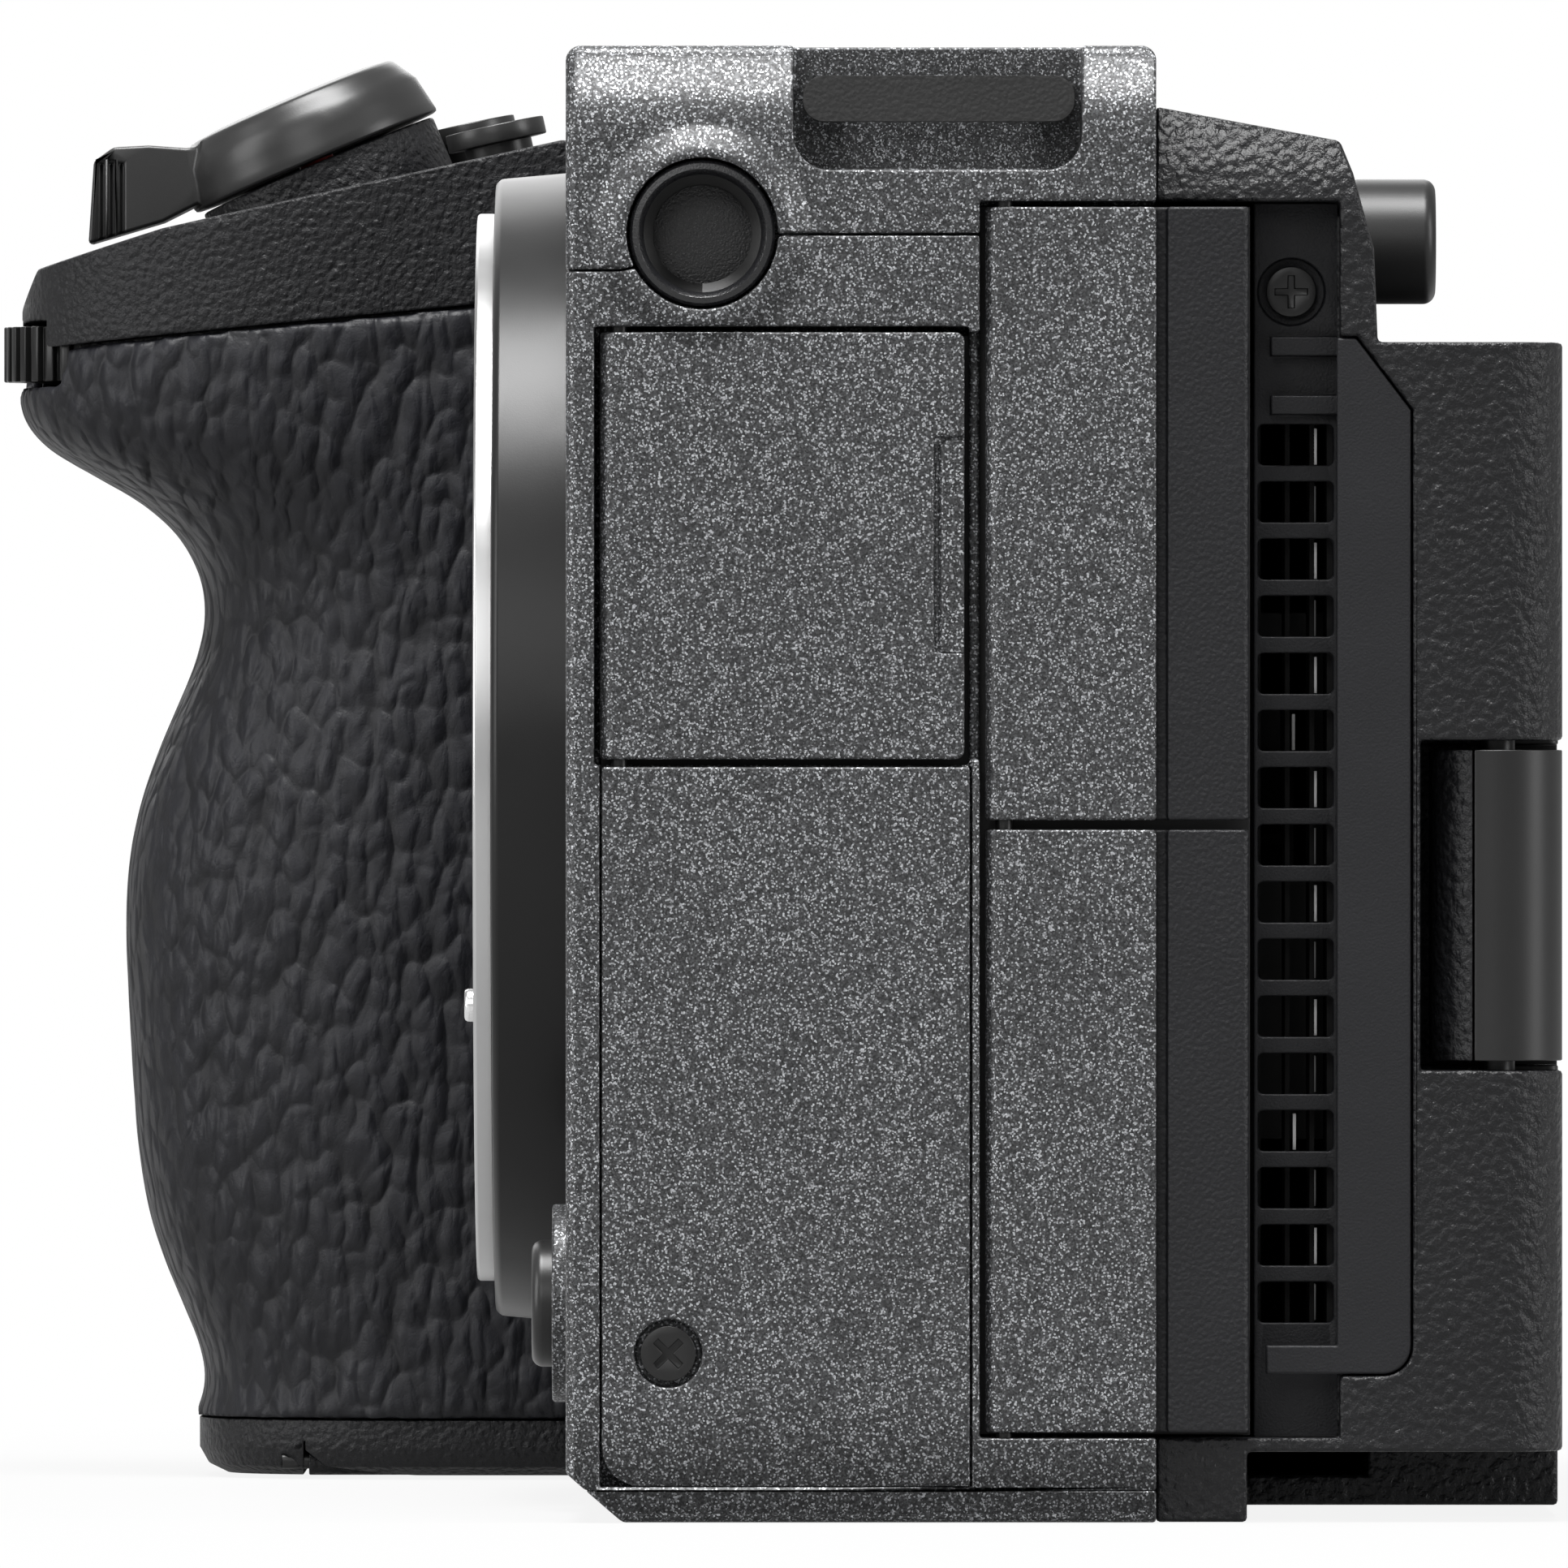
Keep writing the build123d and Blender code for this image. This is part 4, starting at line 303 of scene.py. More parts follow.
class Shader:
    """The node tree of a new material, or of the owner given."""

    def __init__(self, name, owner=None):
        self.owner = owner or bpy.data.materials.new(name)
        self.owner.use_nodes = True
        self.tree = self.owner.node_tree
        self.tree.nodes.clear()

    def node(self, kind, settings, inputs, output=0):
        """Add a node: its settings first, then the values or links of its sockets. Returns one output."""
        node = self.tree.nodes.new("ShaderNode" + kind)
        for key, setting in settings.items():
            if key == "stops":
                self.fill_ramp(node.color_ramp, setting)
            else:
                setattr(node, key, setting)
        for key, source in inputs.items():
            if isinstance(source, Value):
                self.tree.links.new(source.socket, node.inputs[key])
            else:
                node.inputs[key].default_value = source
        return Value(self, node.outputs[output]) if len(node.outputs) else None

    @staticmethod
    def fill_ramp(ramp, stops):
        """Set a ramp's stops from pairs of place and grey."""
        while len(ramp.elements) < len(stops):
            ramp.elements.new(0.5)
        for element, (place, grey) in zip(ramp.elements, stops):
            element.position = place
            element.color = (grey, grey, grey, 1.0)

    def math(self, operation, first, second):
        """A Math node on two numbers or values."""
        return self.node("Math", {"operation": operation}, {0: first, 1: second})

    def place(self):
        """Position on the object."""
        return self.node("TexCoord", {}, {}, "Object")

    def stretched(self, scale):
        """Position with its own scale on each axis."""
        return self.node("Mapping", {}, {"Vector": self.place(), "Scale": scale})

    def grain(self, size, detail=2.0, roughness=0.5):
        """Noise whose grains are about size wide."""
        sockets = {"Vector": self.place(), "Scale": 1.0 / size, "Detail": detail, "Roughness": roughness}
        return self.node("TexNoise", {}, sockets, "Fac")

    def ramp(self, value, stops):
        """Greys that a value runs through."""
        return self.node("ValToRGB", {"stops": stops}, {"Fac": value}, "Color")

    def tint(self, factor, low, high):
        """Blend of two colours."""
        return self.node("Mix", {"data_type": "RGBA"}, {0: factor, 6: (*low, 1.0), 7: (*high, 1.0)}, 2)

    def vector(self, operation, first, second):
        """A Vector Math node on two vectors."""
        return self.node("VectorMath", {"operation": operation}, {0: first, 1: second})

    def length(self, vector):
        """Length of a vector."""
        return self.node("VectorMath", {"operation": "LENGTH"}, {0: vector}, "Value")

    def fade(self, value, start, end, first, last):
        """Number that goes smoothly from first to last while a value goes from start to end."""
        sockets = {"Value": value, "From Min": start, "From Max": end, "To Min": first, "To Max": last}
        return self.node("MapRange", {"interpolation_type": "SMOOTHSTEP"}, sockets, "Result")

    def bump(self, height, distance, strength=1.0, normal=None):
        """Normal of a surface with this relief."""
        sockets = {"Height": height, "Distance": distance, "Strength": strength}
        if normal:
            sockets["Normal"] = normal
        return self.node("Bump", {}, sockets, "Normal")

    def crown(self, *bends):
        """Normal of a left side that leans more and more between two heights, once for each bend."""
        outward = self.node("NewGeometry", {}, {}, "Normal")
        facing = self.node("SeparateXYZ", {}, {"Vector": outward}, "X")
        height = self.node("SeparateXYZ", {}, {"Vector": self.place()}, "Z")
        depth = self.node("SeparateXYZ", {}, {"Vector": self.place()}, "X")
        lean = 0.0
        for foot, top, slope in bends:
            lean = self.fade(height, foot, top, 0.0, slope) + lean
        on_side = self.math("GREATER_THAN", facing, SIDE_FACING)
        outside = self.math("GREATER_THAN", depth, CAD_BOUNDS[1].x - SIDE_DEPTH)
        rise = self.node("CombineXYZ", {}, {"Z": lean * on_side * outside})
        return self.node("VectorMath", {"operation": "NORMALIZE"}, {0: self.vector("ADD", outward, rise)})

    def background(self, mirrored):
        """1 where the camera looks straight or through glass, less where a reflection does."""
        straight = self.node("LightPath", {}, {}, "Is Camera Ray")
        through = self.node("LightPath", {}, {}, "Is Transmission Ray")
        mirror = self.node("LightPath", {}, {}, "Is Glossy Ray")
        return straight + through + mirror * mirrored

    def finish(self, **inputs):
        """End the material in a Principled shader with these inputs."""
        sockets = {key.replace("_", " "): value for key, value in inputs.items()}
        surface = self.node("BsdfPrincipled", {}, sockets, "BSDF")
        self.node("OutputMaterial", {}, {"Surface": surface})
        return self.owner


def grey(level):
    """A grey as a colour."""
    return (level, level, level)


def shaded(color, factor):
    """A colour made darker or lighter."""
    return [part * factor for part in color]


def speckled_paint(paint):
    """Dark metallic paint with dense bright flakes."""
    shader = Shader("speckled_paint")
    cells = shader.node(
        "TexVoronoi", {}, {"Vector": shader.place(), "Scale": 1.0 / paint.flake_size}, "Color"
    )
    level = shader.node("SeparateColor", {}, {"Color": cells}, "Red")
    patches = shader.grain(6 * MM, detail=1.0)
    from_ring = shader.vector("SUBTRACT", shader.place(), paint.halo_place)
    reach = shader.length(shader.vector("MULTIPLY", from_ring, (0.0, 1.0, 1.0)))
    halo = shader.fade(reach, paint.halo_inner, paint.halo_outer, 1.0, 0.0)
    stops = [
        (0.0, paint.dark),
        (0.45, paint.body),
        (0.78, paint.body * 2.0),
        (0.93, paint.flake * 0.7),
        (1.0, paint.flake),
    ]
    flakes = shader.ramp(level + (patches - 0.5) * 0.08, stops)
    relief = shader.grain(0.16 * MM, detail=2.0)
    crown = shader.crown(
        (paint.crown_foot, paint.crown_top, paint.crown_lean),
        (paint.keel_top, paint.keel_foot, -paint.crown_lean),
    )
    raised = shader.bump(halo, 1.1 * MM, 1.0, crown)
    return shader.finish(
        Base_Color=shader.tint(flakes, BLACK, (0.94, 0.96, 1.0)),
        Metallic=0.35,
        Roughness=paint.roughness + level * -0.12 + relief * 0.1,
        Specular_IOR_Level=0.4,
        Normal=shader.bump(relief + level * 0.6, 0.03 * MM, 0.6, raised),
    )


def pebbled_plastic(name, color, size, relief, roughness=0.42, specular=0.22, crown=None):
    """Moulded plastic with a grain of small shiny bumps; crown is a bend of its side."""
    shader = Shader(name)
    lumps = shader.grain(size, detail=3.0, roughness=0.6)
    bumps = shader.node(
        "TexVoronoi", {"feature": "SMOOTH_F1"},
        {"Vector": shader.place(), "Scale": 0.8 / size, "Smoothness": 0.5}, "Distance",
    )
    height = lumps * 0.8 + (1.0 - bumps) * 0.6
    shade = shader.grain(7 * MM, detail=2.0)
    normal = shader.crown(crown) if crown else None
    return shader.finish(
        Base_Color=shader.tint(shade, shaded(color, 0.8), shaded(color, 1.25)),
        Roughness=roughness + (lumps - 0.5) * 0.25,
        Specular_IOR_Level=specular,
        Normal=shader.bump(height, relief, 0.8, normal),
    )


def satin_black(name, level, roughness, metallic=0.0):
    """Smooth black finish with a very fine grain."""
    shader = Shader(name)
    fine = shader.grain(0.08 * MM, detail=1.0)
    cloud = shader.grain(9 * MM, detail=2.0)
    return shader.finish(
        Base_Color=shader.tint(cloud, grey(level * 0.85), grey(level * 1.15)),
        Metallic=metallic,
        Roughness=roughness + (cloud - 0.5) * 0.08,
        Specular_IOR_Level=0.32,
        Normal=shader.bump(fine, 0.006 * MM, 0.5),
    )


def turned_steel(name, level, roughness, axis=(0.0, 0.0, 0.0)):
    """Bright metal turned on a lathe about a line along Y through a point."""
    shader = Shader(name)
    offset = shader.vector("SUBTRACT", shader.place(), axis)
    radius = shader.length(shader.vector("MULTIPLY", offset, (1.0, 0.0, 1.0)))
    rings = shader.node(
        "TexNoise", {"noise_dimensions": "1D"}, {"W": radius, "Scale": 9000.0, "Detail": 2.0}, "Fac"
    )
    wear = shader.grain(2.5 * MM, detail=3.0)
    return shader.finish(
        Base_Color=shader.tint(wear, grey(level * 0.9), grey(level)),
        Metallic=1.0,
        Roughness=roughness + (rings - 0.5) * 0.12 + wear * 0.06,
        Normal=shader.bump(rings, 0.01 * MM, 0.3),
    )


def leatherette(leather):
    """Black grip skin: long domed pebbles with fine creases between them, and painted shade that darkens
    the creases.
    """
    shader = Shader("leatherette")
    stretched = shader.stretched((1.0, 1.15, 0.62))
    wander = shader.node(
        "TexNoise", {}, {"Vector": stretched, "Scale": 0.6 / leather.grain, "Detail": 1.0}, "Color"
    )
    shift = shader.vector("SUBTRACT", wander, grey(0.5))
    shift = shader.node("VectorMath", {"operation": "SCALE"}, {0: shift, "Scale": leather.grain * 0.9})
    warped = shader.vector("ADD", stretched, shift)
    domes = shader.node(
        "TexVoronoi", {"feature": "SMOOTH_F1"},
        {"Vector": warped, "Scale": 1.0 / leather.grain, "Smoothness": 0.35}, "Distance",
    )
    small = shader.node(
        "TexVoronoi", {"feature": "F1"}, {"Vector": warped, "Scale": 2.3 / leather.grain}, "Distance"
    )
    pores = shader.grain(0.12 * MM, detail=2.0)
    pebble = 1.0 - domes ** 1.6
    height = pebble + (1.0 - small) * 0.12 + pores * 0.04
    return shader.finish(
        # Painted shade: the colour follows the relief, darker in the creases and lighter on the pebble tops
        Base_Color=shader.tint(pebble, shaded(leather.color, 0.55), shaded(leather.color, 1.3)),
        Roughness=0.56 - pebble * 0.12 + pores * 0.05,
        Specular_IOR_Level=0.25,
        Normal=shader.bump(height, 0.6 * MM, 0.75),
    )


def screen_glass():
    """Black gloss glass over a dark display."""
    shader = Shader("screen_glass")
    dust = shader.grain(5 * MM, detail=4.0)
    return shader.finish(
        Base_Color=shader.tint(dust, grey(0.004), grey(0.006)),
        Roughness=0.05 + dust * 0.05,
        Coat_Weight=0.6,
        Specular_IOR_Level=0.5,
    )


def coated_glass():
    """Sensor cover with a green and violet coating."""
    shader = Shader("coated_glass")
    tone = shader.node("LayerWeight", {}, {"Blend": 0.4}, "Facing")
    return shader.finish(
        Base_Color=shader.tint(tone, (0.02, 0.06, 0.05), (0.07, 0.03, 0.12)),
        Roughness=0.06 + shader.grain(4 * MM) * 0.04,
        Metallic=0.35,
        Coat_Weight=1.0,
    )


def solder_mask():
    """Green lacquered board."""
    shader = Shader("solder_mask")
    tracks = shader.node(
        "TexBrick", {}, {"Vector": shader.stretched(grey(500.0)), "Scale": 1.0, "Mortar Size": 0.03}, "Fac"
    )
    return shader.finish(
        Base_Color=shader.tint(tracks, (0.006, 0.05, 0.028), (0.02, 0.11, 0.06)),
        Roughness=0.35 + shader.grain(1 * MM) * 0.1,
    )


def red_lacquer():
    """Red record button."""
    shader = Shader("red_lacquer")
    cloud = shader.grain(3 * MM)
    return shader.finish(
        Base_Color=shader.tint(cloud, (0.32, 0.012, 0.012), (0.42, 0.02, 0.018)),
        Roughness=0.3 + cloud * 0.1,
        Specular_IOR_Level=0.5,
    )


def gold_plate():
    """Gold plated contact."""
    shader = Shader("gold_plate")
    wear = shader.grain(0.5 * MM, detail=2.0)
    return shader.finish(
        Base_Color=shader.tint(wear, (0.72, 0.46, 0.16), (0.85, 0.6, 0.26)),
        Metallic=1.0,
        Roughness=0.22 + wear * 0.1,
    )


finishes = {}


def finish(name):
    """The named finish, made once."""
    if name not in finishes:
        scene = bpy.context.scene
        plastic = scene.camera_plastic
        black = tuple(plastic.black)
        lens_axis = tuple(middle("mount_flange"))
        makers = {
            "paint": lambda: speckled_paint(scene.camera_paint),
            "rear_plastic": lambda: pebbled_plastic(
                "rear_plastic", black, plastic.pebble, 0.3 * MM, 0.38, 0.25, REAR_CROWN
            ),
            "grip_plastic": lambda: pebbled_plastic("grip_plastic", black, plastic.pebble * 0.8, 0.22 * MM),
            "door_plastic": lambda: pebbled_plastic(
                "door_plastic", shaded(black, 1.5), plastic.fine_grain, 0.09 * MM, 0.46
            ),
            "lug_metal": lambda: pebbled_plastic("lug_metal", grey(0.02), plastic.fine_grain, 0.07 * MM),
            "frame_plastic": lambda: pebbled_plastic(
                "frame_plastic", shaded(black, 1.7), plastic.fine_grain * 0.55, 0.03 * MM, 0.5
            ),
            "insert_black": lambda: pebbled_plastic(
                "insert_black", black, plastic.fine_grain * 0.5, 0.02 * MM, 0.3, 0.5
            ),
            "smooth_black": lambda: satin_black("smooth_black", 0.009, 0.4),
            "button_black": lambda: satin_black("button_black", 0.016, 0.32),
            "collar_black": lambda: satin_black("collar_black", 0.014, 0.34, 0.5),
            "dial_black": lambda: satin_black("dial_black", 0.018, 0.3, 0.6),
            "shutter_black": lambda: satin_black("shutter_black", 0.004, 0.75),
            "screw_black": lambda: satin_black("screw_black", 0.03, 0.35, 0.8),
            "flange_steel": lambda: turned_steel("flange_steel", 0.5, 0.3, lens_axis),
            "pin_steel": lambda: turned_steel("pin_steel", 0.75, 0.22),
            "dark_steel": lambda: turned_steel("dark_steel", 0.3, 0.3),
            "fin_metal": lambda: turned_steel("fin_metal", 0.4, 0.34),
            "gold": gold_plate,
            "leather": lambda: leatherette(scene.camera_leather),
            "screen": screen_glass,
            "sensor": coated_glass,
            "board": solder_mask,
            "red": red_lacquer,
        }
        finishes[name] = makers[name]()
    return finishes[name]


# Making pieces


def add_piece(name, mesh, material, body, replaced=()):
    """Put a mesh into the scene as a piece that rides on a body."""
    obj = bpy.data.objects.new(name, mesh)
    bpy.context.scene.collection.objects.link(obj)
    mesh.materials.clear()
    mesh.materials.append(finish(material))
    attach(obj, body)
    if replaced:
        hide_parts(*replaced)
    return obj


def dress(node, material):
    """Give a CAD node that stays as it is its finish."""
    mesh = NODES[node].data
    mesh.materials.clear()
    mesh.materials.append(finish(material))


def joined_copy(node):
    """A bmesh of a node with its corners joined, so that its faces hang together."""
    bm = bmesh.new()
    bm.from_mesh(NODES[node].data)
    bmesh.ops.remove_doubles(bm, verts=bm.verts, dist=SAME_PLACE)
    return bm


def smooth_mesh(name, bm, sharp_angle=None):
    """End a bmesh in a smooth shaded mesh, with its edges sharp beyond an angle if one is given."""
    for face in bm.faces:
        face.smooth = True
    mesh = bpy.data.meshes.new(name)
    bm.to_mesh(mesh)
    bm.free()
    if sharp_angle:
        mesh.set_sharp_from_angle(angle=sharp_angle)
    return mesh


def soften(node, material, radius, clamp=False):
    """Replace a node by a copy with rounded edges; clamp holds the radius back where faces are narrow."""
    bm = joined_copy(node)
    flat = [edge for edge in bm.edges if edge.is_manifold and edge.calc_face_angle() < FLAT_ANGLE]
    bmesh.ops.beautify_fill(bm, faces=bm.faces, edges=flat, method="ANGLE")
    bmesh.ops.join_triangles(bm, faces=bm.faces, angle_face_threshold=PAIR_ANGLE, angle_shape_threshold=pi)
    name = node + "_finished"
    body = NODES[node]["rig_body"]
    piece = add_piece(name, smooth_mesh(name, bm), material, body, (node,))
    bevel = piece.modifiers.new("edges", "BEVEL")
    bevel.width = radius
    bevel.segments = bpy.context.scene.camera_edges.steps
    bevel.limit_method = "ANGLE"
    bevel.angle_limit = EDGE_ANGLE
    bevel.use_clamp_overlap = clamp
    bevel.loop_slide = False
    flatten = piece.modifiers.new("flat_faces", "WEIGHTED_NORMAL")
    flatten.weight = LARGE_FACES


def lathe(name, profile, segments=64):
    """Mesh turned about Z from points of radius and height; the profile is closed."""
    bm = bmesh.new()
    rings = []
    for i in range(segments):
        turn = tau * i / segments
        rings.append([bm.verts.new((r * cos(turn), r * sin(turn), h)) for r, h in profile])
    count = len(profile)
    for i in range(segments):
        here = rings[i]
        there = rings[(i + 1) % segments]
        for j in range(count):
            k = (j + 1) % count
            bm.faces.new((here[j], there[j], there[k], here[k]))
    bmesh.ops.recalc_face_normals(bm, faces=bm.faces)
    return smooth_mesh(name, bm, radians(35))


def thread_mesh(name, crest, root, pitch, depth, steps=40):
    """Inner screw thread below Z = 0: a helical ridge with V flanks."""
    bm = bmesh.new()
    total = int(steps * depth / pitch)
    # Radius and share of the pitch at the corners of the ridge
    ridge = ((root, 0.0), (crest, 0.4), (crest, 0.55), (root, 0.95))
    columns = []
    for i in range(total + 1):
        turn = tau * i / steps
        drop = -pitch * i / steps
        column = []
        for radius, part in ridge:
            column.append(bm.verts.new((radius * cos(turn), radius * sin(turn), drop - pitch * part)))
        columns.append(column)
    for here, there in zip(columns, columns[1:]):
        for j in range(len(ridge) - 1):
            bm.faces.new((here[j], here[j + 1], there[j + 1], there[j]))
    # The root between one turn and the next
    for i in range(total - steps):
        k = i + steps
        bm.faces.new((columns[i][-1], columns[k][0], columns[k + 1][0], columns[i + 1][-1]))
    return smooth_mesh(name, bm, radians(25))


def placed(mesh, origin, direction):
    """Move a mesh made about Z so that Z points along a direction at a place."""
    turn = Vector((0, 0, 1)).rotation_difference(Vector(direction)).to_matrix().to_4x4()
    mesh.transform(Matrix.Translation(origin) @ turn)
    return mesh


# The pieces, one operator for each group


class CAMERA_OT_housing(Operator):
    """Metal housing of the left side with its fixed panel and base"""

    bl_idname = "camera_kit.housing"
    bl_label = "Metal housing"

    def execute(self, context):
        radius = context.scene.camera_edges.housing
        for node in ("top_cover", "front_shell", "side_panel", "base_plate"):
            soften(node, "paint", radius)
        return {"FINISHED"}


class CAMERA_OT_inserts(Operator):
    """Threaded inserts of the base, the roof and the left side"""

    bl_idname = "camera_kit.inserts"
    bl_label = "Threaded inserts"

    def execute(self, context):
        thread = context.scene.camera_thread
        mounts = [mount for mount in frame["record"]["mounts"] if mount["kind"] == "threaded_hole"]
        low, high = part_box("thread_bushings")
        bore_depth = 5.6 * MM
        foot_depth = bore_depth + 0.5 * MM
        rim = 3.84 * MM
        # Up the outside, over the rim, down the bore and across the closed foot
        profile = [
            (rim, -foot_depth),
            (rim, -0.30 * MM),
            (3.68 * MM, -0.08 * MM),
            (3.40 * MM, -0.04 * MM),
            (3.25 * MM, -0.20 * MM),
            (3.10 * MM, -0.62 * MM),
            (thread.root_radius, -0.7 * MM),
            (thread.root_radius, -bore_depth),
            (2.0 * MM, -bore_depth),
            (AXIS, -bore_depth),
            (AXIS, -foot_depth),
        ]
        # The thread starts below the rim and ends above the foot
        start = Vector((0, 0, -0.66 * MM))
        length = bore_depth - 1.9 * MM
        replaced = ("thread_bushings",)
        for number, mount in enumerate(mounts, 1):
            axis = Vector(mount["axis"])
            mouth = self.mouth(Vector(mount["pos_m"]), axis, low, high)
            ring = placed(lathe(f"insert_ring_{number}", profile), mouth, axis)
            add_piece(ring.name, ring, "insert_black", "camera", replaced)
            replaced = ()
            crests = thread_mesh(
                f"insert_thread_{number}", thread.crest_radius, thread.root_radius, thread.pitch, length
            )
            crests.transform(Matrix.Translation(start))
            placed(crests, mouth, axis)
            add_piece(crests.name, crests, "smooth_black", "camera")
        return {"FINISHED"}

    @staticmethod
    def mouth(place, axis, low, high):
        """Where the insert's face lies: on the node's own box along the axis."""
        face = place.copy()
        for i in range(3):
            if axis[i] > 0.5:
                face[i] = high[i]
            elif axis[i] < -0.5:
                face[i] = low[i]
        return face


class CAMERA_OT_mount(Operator):
    """Lens mount: collar, flange, contacts, lock pin and release button"""

    bl_idname = "camera_kit.mount"
    bl_label = "Lens mount"

    def execute(self, context):
        edges = context.scene.camera_edges
        soften("mount_collar", "collar_black", 0.12 * MM)
        soften("mount_flange", "flange_steel", 0.05 * MM)
        soften("lens_release_button", "button_black", edges.small)
        soften("lens_lock_pin", "pin_steel", edges.small)
        soften("lens_contacts", "shutter_black", edges.small)
        self.contact_pins()
        return {"FINISHED"}

    @staticmethod
    def contact_pins():
        """Sprung gold pins that stand out of the contact block."""
        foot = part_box("lens_contacts")[0].y + 0.28 * MM
        axis_height = middle("mount_flange").z
        # The pins stand on an arc about the lens axis, its middle straight below the axis
        circle = 21.65 * MM
        count = 10
        spacing = radians(4.6)
        below = radians(270)
        radius = 0.42 * MM
        profile = [
            (AXIS, 0.0),
            (radius, 0.0),
            (radius, 0.34 * MM),
            (0.30 * MM, 0.48 * MM),
            (AXIS, 0.52 * MM),
        ]
        for i in range(count):
            turn = below + spacing * (i - (count - 1) / 2)
            spot = Vector((circle * cos(turn), foot, axis_height + circle * sin(turn)))
            pin = placed(lathe(f"contact_pin_{i}", profile, segments=20), spot, (0, -1, 0))
            add_piece(pin.name, pin, "gold", "camera")


class CAMERA_OT_doors(Operator):
    """Hinged port doors of the left side"""

    bl_idname = "camera_kit.doors"
    bl_label = "Port doors"

    def execute(self, context):
        edges = context.scene.camera_edges
        for node in ("mic_door", "hdmi_door", "usb_door"):
            soften(node, "paint", edges.housing)
        for node in ("hdmi_door_back", "usb_door_back"):
            soften(node, "door_plastic", edges.housing)
        self.mic_tab()
        dress("hinge_pins", "screw_black")
        return {"FINISHED"}

    @staticmethod
    def mic_tab():
        """Raised finger lip on the free edge of the microphone door."""
        side, rear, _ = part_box("mic_door")[1]
        inner = side - 0.36 * MM
        outer = side - 0.06 * MM
        edge = rear - 0.02 * MM
        foot = 45.8 * MM
        head = 57.0 * MM
        # Y at the lip's inner and at its outer face, and the height
        corners = [
            (rear - 1.40 * MM, rear - 1.15 * MM, foot),
            (rear - 1.40 * MM, rear - 1.15 * MM, head - 0.3 * MM),
            (rear - 1.10 * MM, rear - 0.85 * MM, head),
            (edge, edge, head),
            (edge, edge, foot),
        ]
        mesh = bpy.data.meshes.new("mic_door_lip")
        bm = bmesh.new()
        bottom = [bm.verts.new((inner, y, z)) for y, _, z in corners]
        top = [bm.verts.new((outer, y, z)) for _, y, z in corners]
        bm.faces.new(top)
        for i in range(len(corners)):
            k = (i + 1) % len(corners)
            bm.faces.new((bottom[i], bottom[k], top[k], top[i]))
        bmesh.ops.recalc_face_normals(bm, faces=bm.faces)
        bmesh.ops.bevel(bm, geom=bm.edges[:], offset=0.07 * MM, segments=2, affect="EDGES", profile=0.5)
        bm.to_mesh(mesh)
        bm.free()
        add_piece("mic_door_lip", mesh, "paint", "mic_door")


class CAMERA_OT_lugs(Operator):
    """Strap lugs, accessory shoe and screws"""

    bl_idname = "camera_kit.lugs"
    bl_label = "Lugs, shoe and screws"

    def execute(self, context):
        edges = context.scene.camera_edges
        soften("strap_lugs", "lug_metal", 0.15 * MM, clamp=True)
        soften("shoe_rails", "dial_black", edges.small)
        soften("screws", "screw_black", 0.04 * MM)
        return {"FINISHED"}


class CAMERA_OT_rear(Operator):
    """Black rear cover with the vent, its grille and its fins"""

    bl_idname = "camera_kit.rear"
    bl_label = "Rear cover and vent"

    def execute(self, context):
        edges = context.scene.camera_edges
        soften("rear_cover", "rear_plastic", edges.plastic)
        soften("vent_frame", "frame_plastic", edges.small)
        soften("vent_grille", "frame_plastic", 0.1 * MM)
        # Painted shade: the heat sink behind the vent gets the darkest matte black, so the slots look deep
        # in shadow
        dress("heat_sink", "shutter_black")
        dress("fan_housing", "smooth_black")
        dress("fan_impeller", "smooth_black")
        self.fins(context.scene.camera_vent)
        return {"FINISHED"}

    @staticmethod
    def fins(vent):
        """Bright edges of the folded cooling fins, one behind each slot."""
        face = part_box("heat_sink")[1].x
        size = Vector((2.4, 0.16, 1.9)) * MM
        stretch = Matrix.Diagonal((*size, 1.0))
        # Every other fin stands deeper, and one in seven stands further forward
        depths = (0.6 * MM, 3.6 * MM)
        shifts = (0.0, 0.0, 0.0, 0.0, 0.0, 1.1 * MM, 0.0)
        mesh = bpy.data.meshes.new("cooling_fins")
        bm = bmesh.new()
        for i in range(vent.count):
            top = vent.top - i * vent.pitch - 0.2 * MM
            center = Vector((
                face - depths[i % len(depths)] - size.x / 2,
                vent.place - shifts[i % len(shifts)],
                top - size.z / 2,
            ))
            bmesh.ops.create_cube(bm, size=1.0, matrix=Matrix.Translation(center) @ stretch)
        bm.to_mesh(mesh)
        bm.free()
        add_piece("cooling_fins", mesh, "fin_metal", "camera")


class CAMERA_OT_monitor(Operator):
    """Swing-out monitor and its hinge"""

    bl_idname = "camera_kit.monitor"
    bl_label = "Monitor"

    def execute(self, context):
        edges = context.scene.camera_edges
        soften("monitor_tray", "grip_plastic", edges.plastic)
        soften("monitor_frame", "smooth_black", edges.small)
        soften("monitor_glass", "screen", 0.05 * MM)
        soften("monitor_arm", "smooth_black", edges.small)
        soften("monitor_arm_cover", "rear_plastic", edges.small)
        return {"FINISHED"}


